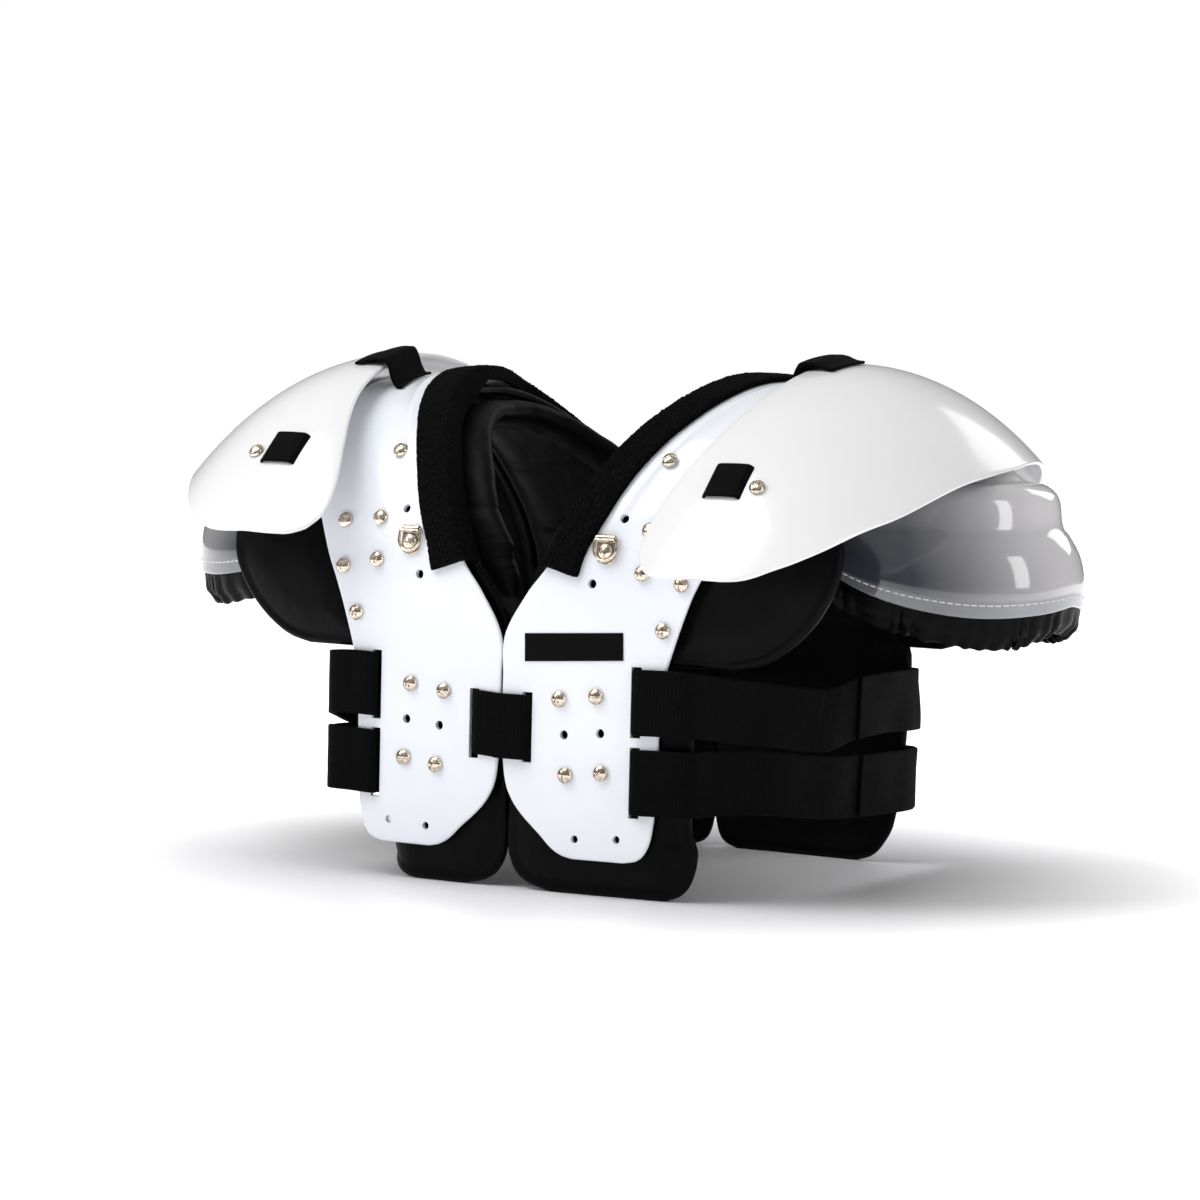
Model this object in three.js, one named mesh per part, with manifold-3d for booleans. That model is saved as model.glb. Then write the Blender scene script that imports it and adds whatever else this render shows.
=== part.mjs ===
// Football shoulder pad: two moulded arches with foam liners, domed shoulder
// flaps over clear cups, webbing straps, neck trim, D-rings and screws.
// Millimetres. +X is the wearer's left, -Y the chest, +Z up. The pad stands on
// its liners, and the origin is on the floor under the shoulder line.

import * as THREE from 'three';
import { mergeVertices } from 'three/addons/utils/BufferGeometryUtils.js';
import Module from 'manifold-3d';

const wasm = await Module();
wasm.setup();

// Driving dimensions

const GAP = 0.35;             // clearance between neighbouring pieces
const EDGE_GAP = 0.7;         // clearance of what folds round a curved edge
const HALF_DEPTH = 140;       // sternum plane to shoulder line
const SPRING = 175;           // height where the upright plates start to curve
const ARC = 131;              // radius of the curve over the shoulder
const FLAT = HALF_DEPTH - ARC; // half of the level stretch on top
const QUARTER = ARC * Math.PI / 2;
const SPINE = 2 * (SPRING + QUARTER + FLAT); // whole run, chest hem to back hem
const DROP_FRONT = 4.5;       // fall of the shell at 100 mm off centre
const DROP_BEND = 110;        // past here the fall is a plain slope
const DROP_SLOPE = 0.09;

const SHELL = 3;              // plastic wall of the arches and flaps
const LINER_OUT = 5.9;        // depth of the liner's face under the shell's face
const LINER_IN = 18;
const WEBBING = 1.9;          // thickness of all webbing
const STRAP_WIDTH = 38;
const STRAP_LIFT = 1.7;       // strap centre above the shell's face
const STRAP_SUNK = 4.45;      // strap centre under the shell's face, behind a slot
const SLOT = 6.4;             // slot width for webbing

const FLAP = { x: 155, ax: 184, ay: 245, az: 312 };  // ellipsoid of the flaps
const FLAP_SLIDE = { left: 0, right: 9 };            // the right flap sits further back
const CUP = { x: 161.6, ax: 138, ay: 78, power: 2.4, wall: 2.5, crease: 219, rim: 170 };
const CUP_PAD_WALL = 8;
const HEAD = 4.8;             // screw head radius
const SHANK = 2.2;

const SIDES = { left: 1, right: -1 };

// Outlines: a row for each height, with the inner and outer edge off centre

const ARCH_FRONT = [
  // z, inner, outer
  [21.5, 49, 82],
  [23, 42, 90],
  [27, 35, 95],
  [34, 27.5, 98.5],
  [44, 16, 100.5],
  [52, 9, 101.5],
  [62, 4, 102.5],
  [78, 1.5, 103],
  [95, 0.7, 103],
  [125, 0.7, 105],
  [150, 1.5, 112],
  [175, 16, 121],
  [191, 28.5, 128],
  [208, 36.5, 135],
  [226, 45, 143],
  [250, 56, 151],
  [268, 66, 155.5],
  [285, 77.5, 158.5],
  [299, 88, 160.5],
];
const ARCH_TOP = [98, 161];
const ARCH_BACK = [
  [299, 107, 160.5],
  [285, 101, 159],
  [268, 89.5, 157],
  [250, 76.5, 154],
  [232, 61, 150],
  [216, 44, 146],
  [200, 27, 143],
  [186, 12, 140.5],
  [174, 3, 139],
  [160, 0.7, 137],
  [140, 0.7, 134],
  [100, 0.7, 131],
  [64, 0.7, 128],
  [48, 4, 124],
  [36, 13, 117],
  [28, 25, 107],
  [23, 40, 92],
];
const LINER_FRONT = [
  [0, 30, 100],
  [3, 16, 108],
  [10, 6, 114],
  [24, 0.5, 118],
  [60, 0.3, 119],
  [110, 0.3, 119],
  [126, 0.3, 118],
  [133, 0.5, 100],
  [150, 2, 105],
  [175, 16.5, 114],
  [191, 29, 121],
  [208, 37, 128],
  [226, 45.5, 136],
  [250, 56.5, 144],
  [268, 66.5, 149],
  [285, 78, 155],
  [299, 88.5, 160],
];
const LINER_TOP = [98.5, 161];
const LINER_BACK = [
  [299, 92, 160],
  [285, 82, 155],
  [268, 70, 150],
  [250, 58, 147],
  [232, 42.5, 143],
  [216, 24, 139],
  [200, 7, 136],
  [188, 0.3, 133.5],
  [170, 0.3, 131.5],
  [150, 0.3, 128],
  [133, 0.3, 125],
  [126, 0.3, 137],
  [100, 0.3, 139],
  [60, 0.3, 136],
  [24, 0.3, 130],
  [10, 8, 122],
  [3, 18, 114],
  [0, 32, 104],
];
const WING_FRONT = [
  [136, 102.3, 146],
  [139, 103.2, 160],
  [145, 104.9, 172],
  [154, 107.7, 184],
  [166, 112, 195],
  [180, 117.6, 203],
  [196, 124.6, 207],
  [214, 132.2, 207],
  [232, 139.6, 202],
  [248, 144.8, 193],
  [262, 149, 180],
];
const WING_BACK = [
  [136, 127, 160],
  [139, 127.5, 170],
  [145, 128.6, 180],
  [156, 130.5, 190],
  [172, 133.3, 198],
  [190, 135.7, 202],
  [210, 139.2, 202],
  [230, 143.8, 196],
  [248, 148, 187],
  [262, 150.6, 176],
];
const FLAP_OUTLINE = [
  // y, inner, outer
  [-193, 139, 170],
  [-190, 127, 181],
  [-183, 115.5, 194],
  [-173, 109.5, 207],
  [-159, 111, 220],
  [-141, 118.5, 232],
  [-119, 128.5, 244],
  [-95, 136.5, 252],
  [-65, 141.5, 258],
  [-33, 144, 262],
  [0, 145, 262],
  [33, 145, 257],
  [64, 141, 249],
  [93, 134, 239],
  [119, 126, 227],
  [141, 120, 214],
  [160, 118, 202],
  [175, 124, 190],
  [184, 138, 174],
];
const CUP_PROFILE = [
  // share of the plan radius, height (170 to 219 is the wall, rim to crease)
  [1, 170],
  [1, 188],
  [0.975, 203],
  [0.925, 215],
  [0.9, 219],
  [0.875, 237],
  [0.815, 244],
  [0.725, 246.5],
  [0.55, 268],
  [0.3, 291],
  [0.05, 298],
];
const CUP_RIM = [
  // angle off the lateral direction, rim height
  [0, 175],
  [20, 171],
  [45, 169],
  [63, 173],
  [76, 181],
  [86, 194],
  [90, 204],
];
const SCREWS = [
  // name, off centre, height on the front
  ['upper', 92.3, 255.9],
  ['mid_top_outer', 118, 213],
  ['mid_top_inner', 92, 215],
  ['mid_outer', 115.5, 184.7],
  ['mid_inner', 90.5, 189.7],
  ['mid_low', 104.8, 157.1],
  ['chest_top_inner', 39.5, 114.2],
  ['chest_top_outer', 63.5, 117.1],
  ['chest_low_inner', 44.5, 70.2],
  ['chest_low_outer', 67.6, 72.9],
];
const OPEN_HOLES = [
  // off centre, height on the front, radius
  [59, 182.2, 2.7],
  [74.5, 221, 2.7],
  [42.7, 93.6, 2.7],
  [66.3, 95.8, 2.7],
  [51.1, 33.3, 2.3],
  [78.1, 35, 2.3],
];
const FLAP_SCREW = { x: 173, y: -153 };
const TAB = { x: 153.5, y: 152, run: 8.2, width: 25, slotIn: 8.6, slotOut: 14 };
const RING = { x: 66.8, z: 201.1, bar: 7.6, out: 2.85, wire: 0.9, half: 7.3, drop: 6 };
const KEEPER = { width: 12.5, tube: 2.1, bore: 1.35, tab: 13, tabLength: 14.5, sheet: 0.9, tail: -7.5 };

const STRAPS = {
  chest: { z: 96.5 },
  back: { z: 112 },
  upper: { front: 115, back: 103 },
  lower: { front: 68.5, back: 55 },
};
const FRONT_SLOT = 88.7;      // side strap slots in the chest plates
const BACK_SLOT = 117.3;
const CHEST_SLOT = 18.2;

// Small maths

const lerp = (a, b, t) => a + (b - a) * t;
const drop = (x) => DROP_FRONT * (Math.min(Math.abs(x), DROP_BEND) / 100) ** 2
  + DROP_SLOPE * Math.max(0, Math.abs(x) - DROP_BEND);

// Catmull-Rom value of one column of a table, at a place along another column
function column(table, at, from, to) {
  const rising = table[table.length - 1][from] > table[0][from];
  const sign = rising ? 1 : -1;
  let i = 0;
  while (i < table.length - 2 && sign * at > sign * table[i + 1][from]) i += 1;
  const p = (k) => table[Math.min(Math.max(k, 0), table.length - 1)];
  const span = p(i + 1)[from] - p(i)[from];
  const t = THREE.MathUtils.clamp((at - p(i)[from]) / span, 0, 1);
  const slope = (k) => {
    const run = p(k + 1)[from] - p(k - 1)[from];
    return (p(k + 1)[to] - p(k - 1)[to]) / run;
  };
  const a = p(i)[to];
  const b = p(i + 1)[to];
  const ma = slope(i) * span;
  const mb = slope(i + 1) * span;
  return a * (2 * t ** 3 - 3 * t ** 2 + 1) + ma * (t ** 3 - 2 * t ** 2 + t)
    + b * (3 * t ** 2 - 2 * t ** 3) + mb * (t ** 3 - t ** 2);
}

// Run along the shell for a height on the chest side
const runAt = (z) => (z <= SPRING ? z : SPRING + ARC * Math.asin((z - SPRING) / ARC));

// Point of the spine and its outward direction, at a run from the chest hem
function spine(s) {
  const back = s > SPINE / 2;
  const t = back ? SPINE - s : s;
  const side = back ? -1 : 1;
  if (t <= SPRING) return { y: -side * HALF_DEPTH, z: t, ny: -side, nz: 0 };
  if (t <= SPRING + QUARTER) {
    const a = (t - SPRING) / ARC;
    const c = Math.cos(a);
    const n = Math.sin(a);
    return { y: -side * (FLAT + ARC * c), z: SPRING + ARC * n, ny: -side * c, nz: n };
  }
  return { y: side * (t - SPRING - QUARTER - FLAT), z: SPRING + ARC, ny: 0, nz: 1 };
}

// Point on the shell: off centre x, run s, and height above its outer face
function onShell(x, s, out = 0) {
  const p = spine(s);
  const h = out - drop(x);
  return new THREE.Vector3(x, p.y + p.ny * h, p.z + p.nz * h);
}

// Frame on the shell: local x off centre, local y up the run, local z outward
function shellFrame(x, s, out = 0) {
  const p = spine(s);
  const m = new THREE.Matrix4().makeBasis(
    new THREE.Vector3(1, 0, 0),
    new THREE.Vector3(0, p.nz, -p.ny),
    new THREE.Vector3(0, p.ny, p.nz),
  );
  return m.setPosition(onShell(x, s, out));
}

// Edge tables by run, from the chest hem over the top to the back hem
function byRun(front, top, back) {
  const rows = front.map(([z, a, b]) => [runAt(z), a, b]);
  rows.push([SPINE / 2, ...top]);
  for (const [z, a, b] of back) rows.push([SPINE - runAt(z), a, b]);
  return rows;
}

const ARCH_EDGES = byRun(ARCH_FRONT, ARCH_TOP, ARCH_BACK);
const LINER_EDGES = byRun(LINER_FRONT, LINER_TOP, LINER_BACK);

// Height of the flaps' ellipsoid, and a point above its face
const flapHeight = (x, y) => FLAP.az * Math.sqrt(
  1 - ((x - FLAP.x) / FLAP.ax) ** 2 - (y / FLAP.ay) ** 2,
);
function onFlap(x, y, out = 0) {
  const z = flapHeight(x, y);
  const n = new THREE.Vector3((x - FLAP.x) / FLAP.ax ** 2, y / FLAP.ay ** 2, z / FLAP.az ** 2);
  return new THREE.Vector3(x, y, z).addScaledVector(n.normalize(), out);
}
function flapFrame(x, y, out = 0) {
  const o = onFlap(x, y, out);
  const n = onFlap(x, y, out + 1).sub(o).normalize();
  const e = new THREE.Vector3(1, 0, 0).addScaledVector(n, -n.x).normalize();
  const u = new THREE.Vector3().crossVectors(n, e);
  return new THREE.Matrix4().makeBasis(e, u, n).setPosition(o);
}

// Solids

// Closed mesh from points and triangles, turned the right way out
function closed(points, triangles) {
  const g = new THREE.BufferGeometry();
  g.setAttribute('position', new THREE.Float32BufferAttribute(points.flatMap((p) => [p.x, p.y, p.z]), 3));
  let volume = 0;
  for (const [a, b, c] of triangles) {
    volume += points[a].dot(new THREE.Vector3().crossVectors(points[b], points[c]));
  }
  g.setIndex(triangles.flatMap(([a, b, c]) => (volume > 0 ? [a, b, c] : [a, c, b])));
  return g;
}

// Slab between two sheets of points: point(u, v, face) with face 0 or 1
function slab(point, us, vs) {
  const n = us.length;
  const m = vs.length;
  const points = [0, 1].flatMap((face) => us.flatMap((u) => vs.map((v) => point(u, v, face))));
  const id = (i, j, face) => face * n * m + i * m + j;
  const triangles = [];
  const quad = (a, b, c, d) => triangles.push([a, b, c], [a, c, d]);
  for (let i = 0; i < n - 1; i += 1) {
    for (let j = 0; j < m - 1; j += 1) {
      quad(id(i, j, 0), id(i, j + 1, 0), id(i + 1, j + 1, 0), id(i + 1, j, 0));
      quad(id(i, j, 1), id(i + 1, j, 1), id(i + 1, j + 1, 1), id(i, j + 1, 1));
    }
  }
  for (let i = 0; i < n - 1; i += 1) {
    quad(id(i, 0, 0), id(i + 1, 0, 0), id(i + 1, 0, 1), id(i, 0, 1));
    quad(id(i, m - 1, 0), id(i, m - 1, 1), id(i + 1, m - 1, 1), id(i + 1, m - 1, 0));
  }
  for (let j = 0; j < m - 1; j += 1) {
    quad(id(0, j, 0), id(0, j, 1), id(0, j + 1, 1), id(0, j + 1, 0));
    quad(id(n - 1, j, 0), id(n - 1, j + 1, 0), id(n - 1, j + 1, 1), id(n - 1, j, 1));
  }
  return closed(points, triangles);
}

// Rod through rings of points; a looped one closes on itself, another gets end caps
function rod(rings, looped = false) {
  const n = rings.length;
  const m = rings[0].length;
  const points = rings.flat();
  const triangles = [];
  for (let i = 0; i < (looped ? n : n - 1); i += 1) {
    for (let j = 0; j < m; j += 1) {
      const a = i * m + j;
      const b = i * m + (j + 1) % m;
      const c = ((i + 1) % n) * m + (j + 1) % m;
      const d = ((i + 1) % n) * m + j;
      triangles.push([a, b, c], [a, c, d]);
    }
  }
  if (!looped) {
    for (let j = 1; j < m - 1; j += 1) {
      triangles.push([0, j + 1, j], [(n - 1) * m, (n - 1) * m + j, (n - 1) * m + j + 1]);
    }
  }
  return closed(points, triangles);
}

const steps = (n, a = 0, b = 1) => Array.from({ length: n + 1 }, (_, i) => lerp(a, b, i / n));

// Runs where sections are taken: a table's own rows on the upright plates, and
// shared places round the curves, so that stacked pieces have parallel facets
const CURVE_RUNS = steps(10, SPRING, SPRING + QUARTER).flatMap((s) => [s, SPINE - s]);
function stations(rows) {
  const first = rows[0][0];
  const last = rows[rows.length - 1][0];
  const [low, high] = [Math.min(first, last), Math.max(first, last)];
  const upright = rows.map((row) => row[0]).filter((s) => s <= SPRING || s >= SPINE - SPRING);
  const inner = [...upright, ...CURVE_RUNS].filter((s) => s > low + 1 && s < high - 1);
  const all = [low, ...inner.sort((a, b) => a - b), high];
  return all.filter((s, i) => i === 0 || s - all[i - 1] > 0.5);
}

function mirror(geometry) {
  const g = geometry.clone();
  const p = g.getAttribute('position');
  for (let i = 0; i < p.count; i += 1) p.setX(i, -p.getX(i));
  const index = g.getIndex().array;
  for (let i = 0; i < index.length; i += 3) [index[i + 1], index[i + 2]] = [index[i + 2], index[i + 1]];
  return g;
}

function positionsOnly(geometry) {
  const g = geometry.clone();
  for (const name of Object.keys(g.attributes)) if (name !== 'position') g.deleteAttribute(name);
  return mergeVertices(g, 1e-4);
}

function manifold(geometry) {
  const g = positionsOnly(geometry);
  return new wasm.Manifold(new wasm.Mesh({
    numProp: 3,
    vertProperties: new Float32Array(g.getAttribute('position').array),
    triVerts: new Uint32Array(g.getIndex().array),
  }));
}

function geometryOf(solid) {
  const mesh = solid.getMesh();
  const g = new THREE.BufferGeometry();
  g.setAttribute('position', new THREE.BufferAttribute(new Float32Array(mesh.vertProperties), 3));
  g.setIndex(new THREE.BufferAttribute(new Uint32Array(mesh.triVerts), 1));
  return g;
}

function cut(geometry, cutters) {
  return geometryOf(cutters.reduce((solid, c) => solid.subtract(manifold(c)), manifold(geometry)));
}

// Drill and slot tools that stand across a wall, in the frame of a place on it
function drill(frame, radius, sides = 6) {
  return new THREE.CylinderGeometry(radius, radius, 12, sides).rotateX(Math.PI / 2).applyMatrix4(frame);
}
function slotTool(frame, width, height) {
  return new THREE.BoxGeometry(width, height, 12).applyMatrix4(frame);
}

// Plastic body shell of one half

function arch() {
  const edges = ARCH_EDGES;
  const point = (s, v, face) => onShell(
    lerp(column(edges, s, 0, 1), column(edges, s, 0, 2), v), s, -face * SHELL,
  );
  const blank = slab(point, stations(edges), steps(2));
  const holes = SCREWS.map(([, x, z]) => drill(shellFrame(x, runAt(z)), SHANK + GAP));
  holes.push(drill(shellFrame(RING.x, runAt(RING.z)), SHANK + GAP));
  for (const [x, z, r] of OPEN_HOLES) holes.push(drill(shellFrame(x, runAt(z)), r, 8));
  const slots = [
    slotTool(shellFrame(CHEST_SLOT, STRAPS.chest.z), SLOT, STRAP_WIDTH + 3),
    slotTool(shellFrame(CHEST_SLOT, SPINE - STRAPS.back.z), SLOT, STRAP_WIDTH + 3),
  ];
  for (const strap of [STRAPS.upper, STRAPS.lower]) {
    slots.push(slotTool(shellFrame(FRONT_SLOT, strap.front), SLOT, STRAP_WIDTH + 3));
    slots.push(slotTool(shellFrame(BACK_SLOT, SPINE - strap.back), SLOT, STRAP_WIDTH + 3));
  }
  return cut(blank, [...holes, ...slots]);
}

// Foam liner of one half, under the shell and down to the floor

function liner() {
  const edges = LINER_EDGES;
  const point = (s, v, face) => onShell(
    lerp(column(edges, s, 0, 1), column(edges, s, 0, 2), v), s, -(face ? LINER_IN : LINER_OUT),
  );
  return slab(point, stations(edges), steps(2));
}

// Place beside a neck edge, at a distance away from the neck, in the section of
// the shell at run s; a tilt slants the section down the chest
function besideNeck(edges, s, d, out, tilt = 0) {
  const edge = (t) => column(edges, t, 0, 1);
  const slope = edge(s + 0.5) - edge(s - 0.5);
  return onShell(edge(s) + d * Math.hypot(1, slope), s - d * tilt, out);
}

// Loop-pile band folded over the neck edge: down the liner's edge on the chest
// side, and only round the plastic at the back, where the liner reaches further in
function neckTrim() {
  const band = 19;
  const pile = 2.8;
  const lip = 2.6;
  const section = (depth) => [
    [-EDGE_GAP, GAP],
    [band, GAP],
    [band, GAP + pile],
    [-EDGE_GAP - lip, GAP + pile],
    [-EDGE_GAP - lip, -depth],
    [-EDGE_GAP, -depth],
  ];
  const runs = stations([[runAt(191.6)], [SPINE - runAt(216)]]);
  const cutTilt = 0.35;
  const depth = (s) => (s < SPRING + QUARTER - 1 ? LINER_IN : LINER_OUT - EDGE_GAP);
  return rod(runs.map((s, i) => section(depth(s)).map(([d, out]) => (
    besideNeck(ARCH_EDGES, s, d, out, i === 0 && d > 0 ? cutTilt : 0)
  ))));
}

// Padded roll inside the neck opening, under the liner
function neckRoll() {
  const section = [[8, 0.5], [8, 10], [-4, 14.5], [-18, 12], [-21, 5], [-12, 0.5]];
  const reach = (s) => Math.min(1, (column(LINER_EDGES, s, 0, 1) - 1) / 33);
  const runs = stations([[runAt(170)], [SPINE - SPRING - QUARTER / 10]]);
  return rod(runs.map((s) => section.map(([d, deep]) => besideNeck(
    LINER_EDGES, s, d < 0 ? d * reach(s) : d, -LINER_IN - deep,
  ))));
}

// Soft wing beside the chest or the back plate
function wing(table, run) {
  const rows = table.map(([z, a, b]) => [run(z), a, b]);
  const point = (s, v, face) => onShell(
    lerp(column(rows, s, 0, 1), column(rows, s, 0, 2), v), s, -(face ? 15.5 : SHELL + GAP),
  );
  return slab(point, stations(rows), steps(2));
}

// Domed flap of one side, with slots for its two webbing tabs and its screw hole
function flap(slide) {
  const point = (y, v, face) => onFlap(
    lerp(column(FLAP_OUTLINE, y, 0, 1), column(FLAP_OUTLINE, y, 0, 2), v), y + slide, -face * SHELL,
  );
  const blank = slab(point, FLAP_OUTLINE.map((row) => row[0]), steps(5));
  const tools = [drill(flapFrame(FLAP_SCREW.x, FLAP_SCREW.y + slide), SHANK + GAP)];
  const middle = (TAB.slotIn + TAB.slotOut) / 2;
  for (const y of [-TAB.y, TAB.y - 9]) {
    for (const end of [-1, 1]) {
      const tool = new THREE.BoxGeometry(TAB.slotOut - TAB.slotIn, TAB.width + 2, 12);
      tools.push(tool.translate(end * middle, 0, 0).applyMatrix4(flapFrame(TAB.x, y + slide)));
    }
  }
  return cut(blank, tools);
}

// Band of webbing through a path of [along, height] places, in a frame
function webbing(path, width, frame) {
  const half = WEBBING / 2;
  const normals = path.map((_, i) => {
    const a = path[Math.max(i - 1, 0)];
    const b = path[Math.min(i + 1, path.length - 1)];
    const length = Math.hypot(b[0] - a[0], b[1] - a[1]);
    return [-(b[1] - a[1]) / length, (b[0] - a[0]) / length];
  });
  const point = (i, v, face) => {
    const k = face ? -half : half;
    const x = path[i][0] + normals[i][0] * k;
    const z = path[i][1] + normals[i][1] * k;
    return new THREE.Vector3(x, (v - 0.5) * width, z).applyMatrix4(frame);
  };
  return slab(point, path.map((_, i) => i), [0, 1]);
}

// Webbing tab that crosses the flap between its two slots
function flapTab(y, slide) {
  const rise = STRAP_LIFT - 0.25;
  const half = [[TAB.run, rise], [10.4, 0.5], [11.3, -1.6], [11.7, -4.6]];
  const path = [...half.map(([a, h]) => [-a, h]).reverse(), ...half];
  return webbing(path, TAB.width, flapFrame(TAB.x, y + slide));
}

// Webbing loop from the shell over the flap's inner edge
function flapStrap(slide) {
  const rows = [
    // off centre, share of the flap as carrier, height over the carrier
    [124, 0, 1.4],
    [131, 0, 1.4],
    [136.5, 0, 2.6],
    [139, 0.6, 2.5],
    [140, 1, 3],
    [143, 1, 5.4],
    [148, 1, 6.6],
    [155, 1, 6.4],
    [161, 1, 4],
    [166, 1, 1.6],
    [172, 1, 1.4],
  ];
  const shellHeight = (x, y) => {
    const over = Math.max(Math.abs(y) - FLAT, 0);
    return SPRING + Math.sqrt((ARC - drop(x)) ** 2 - over ** 2);
  };
  const height = ([x, share, h], y) => lerp(shellHeight(x, y), flapHeight(x, y), share) + h;
  const point = (i, v, face) => {
    const y = -25 + (v - 0.5) * STRAP_WIDTH + slide;
    const a = rows[Math.max(i - 1, 0)];
    const b = rows[Math.min(i + 1, rows.length - 1)];
    const dx = b[0] - a[0];
    const dz = height(b, y) - height(a, y);
    const k = (face ? -WEBBING / 2 : WEBBING / 2) / Math.hypot(dx, dz);
    return new THREE.Vector3(rows[i][0] - dz * k, y, height(rows[i], y) + dx * k);
  };
  return slab(point, rows.map((_, i) => i), steps(2));
}

// Shoulder cup: rings of a rounded plan, by angle and by share of the plan radius
const cupRim = (angle) => column(CUP_RIM, Math.abs(THREE.MathUtils.radToDeg(angle)), 0, 1);
function onCup(angle, share, z) {
  const bend = (t) => Math.sign(t) * Math.abs(t) ** (2 / CUP.power);
  return new THREE.Vector3(
    CUP.x + CUP.ax * share * bend(Math.max(Math.cos(angle), 0)),
    CUP.ay * share * bend(Math.sin(angle)),
    z,
  );
}
function cupFace(angle, row) {
  const i = Math.floor(Math.min(row, CUP_PROFILE.length - 1.001));
  const t = row - i;
  const share = lerp(CUP_PROFILE[i][0], CUP_PROFILE[i + 1][0], t);
  const level = lerp(CUP_PROFILE[i][1], CUP_PROFILE[i + 1][1], t);
  const up = Math.min((level - CUP.rim) / (CUP.crease - CUP.rim), 1);
  const z = level > CUP.crease ? level : lerp(cupRim(angle), CUP.crease, up);
  return onCup(angle, share, z);
}
// The wall goes straight in, level on the sides and down under the top
function cupInside(angle, row, depth) {
  const p = cupFace(angle, row);
  const q = cupFace(angle, Math.min(row + 0.5, CUP_PROFILE.length - 1));
  const o = cupFace(angle, Math.max(row - 0.5, 0));
  const along = q.clone().sub(o).normalize();
  const round = cupFace(angle + 0.02, row).sub(cupFace(angle - 0.02, row)).normalize();
  const inward = new THREE.Vector3().crossVectors(along, round).normalize();
  if (inward.dot(new THREE.Vector3(Math.cos(angle), Math.sin(angle), 1)) > 0) inward.negate();
  const moved = p.addScaledVector(inward, depth);
  moved.x = Math.max(moved.x, CUP.x);
  return moved;
}
const CUP_ANGLES = [-90, -80, -65, -43, -15, 15, 43, 65, 80, 90]
  .map((a) => THREE.MathUtils.degToRad(a));

function cup() {
  const rows = CUP_PROFILE.map((_, i) => i);
  return slab((a, row, face) => cupInside(a, row, face * CUP.wall), CUP_ANGLES, rows);
}

// Gathered pad that lines the cup and hangs below its rim
function cupPad() {
  const skirt = [[0.93, -20], [0.985, -12], [0.985, -4]];
  const point = (a, row, face) => {
    if (row < 0) {
      const [share, below] = skirt[row + skirt.length];
      return onCup(a, share - (face ? CUP_PAD_WALL / CUP.ay : 0), cupRim(a) + below);
    }
    return cupInside(a, row, CUP.wall + GAP + (face ? CUP_PAD_WALL : 0));
  };
  const rows = steps(CUP_PROFILE.length + skirt.length - 2, -skirt.length, CUP_PROFILE.length - 2);
  return slab(point, CUP_ANGLES, rows.map(Math.round));
}

// Strap that joins the halves: across two slots, its ends behind the plates
function crossStrap(frameAt) {
  const half = [
    [15, STRAP_LIFT],
    [CHEST_SLOT - 0.7, 0.6],
    [CHEST_SLOT, -1.5],
    [CHEST_SLOT + 0.7, -3.6],
    [21.2, -STRAP_SUNK],
    [29, -STRAP_SUNK],
  ];
  const path = [...half.map(([x, h]) => [-x, h]).reverse(), ...half];
  return webbing(path.map(([x, h]) => [x, h - drop(x)]), STRAP_WIDTH, frameAt);
}

// Side strap: out of a slot in the chest plate, round the ribs, into the back plate
function sideStrap({ front, back }) {
  const onPlate = (x, out, side) => [x, side * (HALF_DEPTH - drop(x) + out)];
  const through = (slot, side, inward) => [
    onPlate(slot + inward * 13, -STRAP_SUNK, side),
    onPlate(slot + inward * 3, -STRAP_SUNK, side),
    onPlate(slot + inward * 0.7, -3.6, side),
    onPlate(slot, -1.5, side),
    onPlate(slot - inward * 0.7, 0.6, side),
    onPlate(slot - inward * 3.2, STRAP_LIFT, side),
  ];
  const path = [
    ...through(FRONT_SLOT, -1, -1),
    onPlate(104, STRAP_LIFT, -1),
    onPlate(118, STRAP_LIFT, -1),
    [122.5, -132],
    [124.5, -126],
    [127, -112],
    [133, -85],
    [139, -50],
    [144.5, 10],
    [145, 60],
    [144, 100],
    [142, 118],
    [139.5, 130],
    onPlate(134.5, STRAP_LIFT, 1),
    onPlate(126, STRAP_LIFT, 1),
    ...through(BACK_SLOT, 1, -1).reverse(),
  ];
  const half = WEBBING / 2;
  const reach = [0];
  for (let i = 1; i < path.length; i += 1) {
    reach.push(reach[i - 1] + Math.hypot(path[i][0] - path[i - 1][0], path[i][1] - path[i - 1][1]));
  }
  const total = reach[reach.length - 1];
  const point = (i, v, face) => {
    const a = path[Math.max(i - 1, 0)];
    const b = path[Math.min(i + 1, path.length - 1)];
    const dx = b[0] - a[0];
    const dy = b[1] - a[1];
    const k = (face ? -half : half) / Math.hypot(dx, dy);
    const share = THREE.MathUtils.smoothstep(reach[i] / total, 0.15, 0.9);
    const z = lerp(front, back, share) + (v - 0.5) * STRAP_WIDTH;
    return new THREE.Vector3(path[i][0] + dy * k, path[i][1] - dx * k, z);
  };
  return slab(point, path.map((_, i) => i), [0, 1]);
}

// Domed screw; lift is the height of what lies under its head
function screw(frame, lift = 0, shank = LINER_OUT - GAP) {
  const low = lift + GAP;
  const profile = [
    [0, -shank],
    [SHANK, -shank],
    [SHANK, low],
    [HEAD, low],
    [HEAD * 0.8, low + 1.8],
    [0, low + 2.9],
  ].map(([r, h]) => new THREE.Vector2(r, h));
  return positionsOnly(new THREE.LatheGeometry(profile, 6).rotateX(Math.PI / 2)).applyMatrix4(frame);
}

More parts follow.
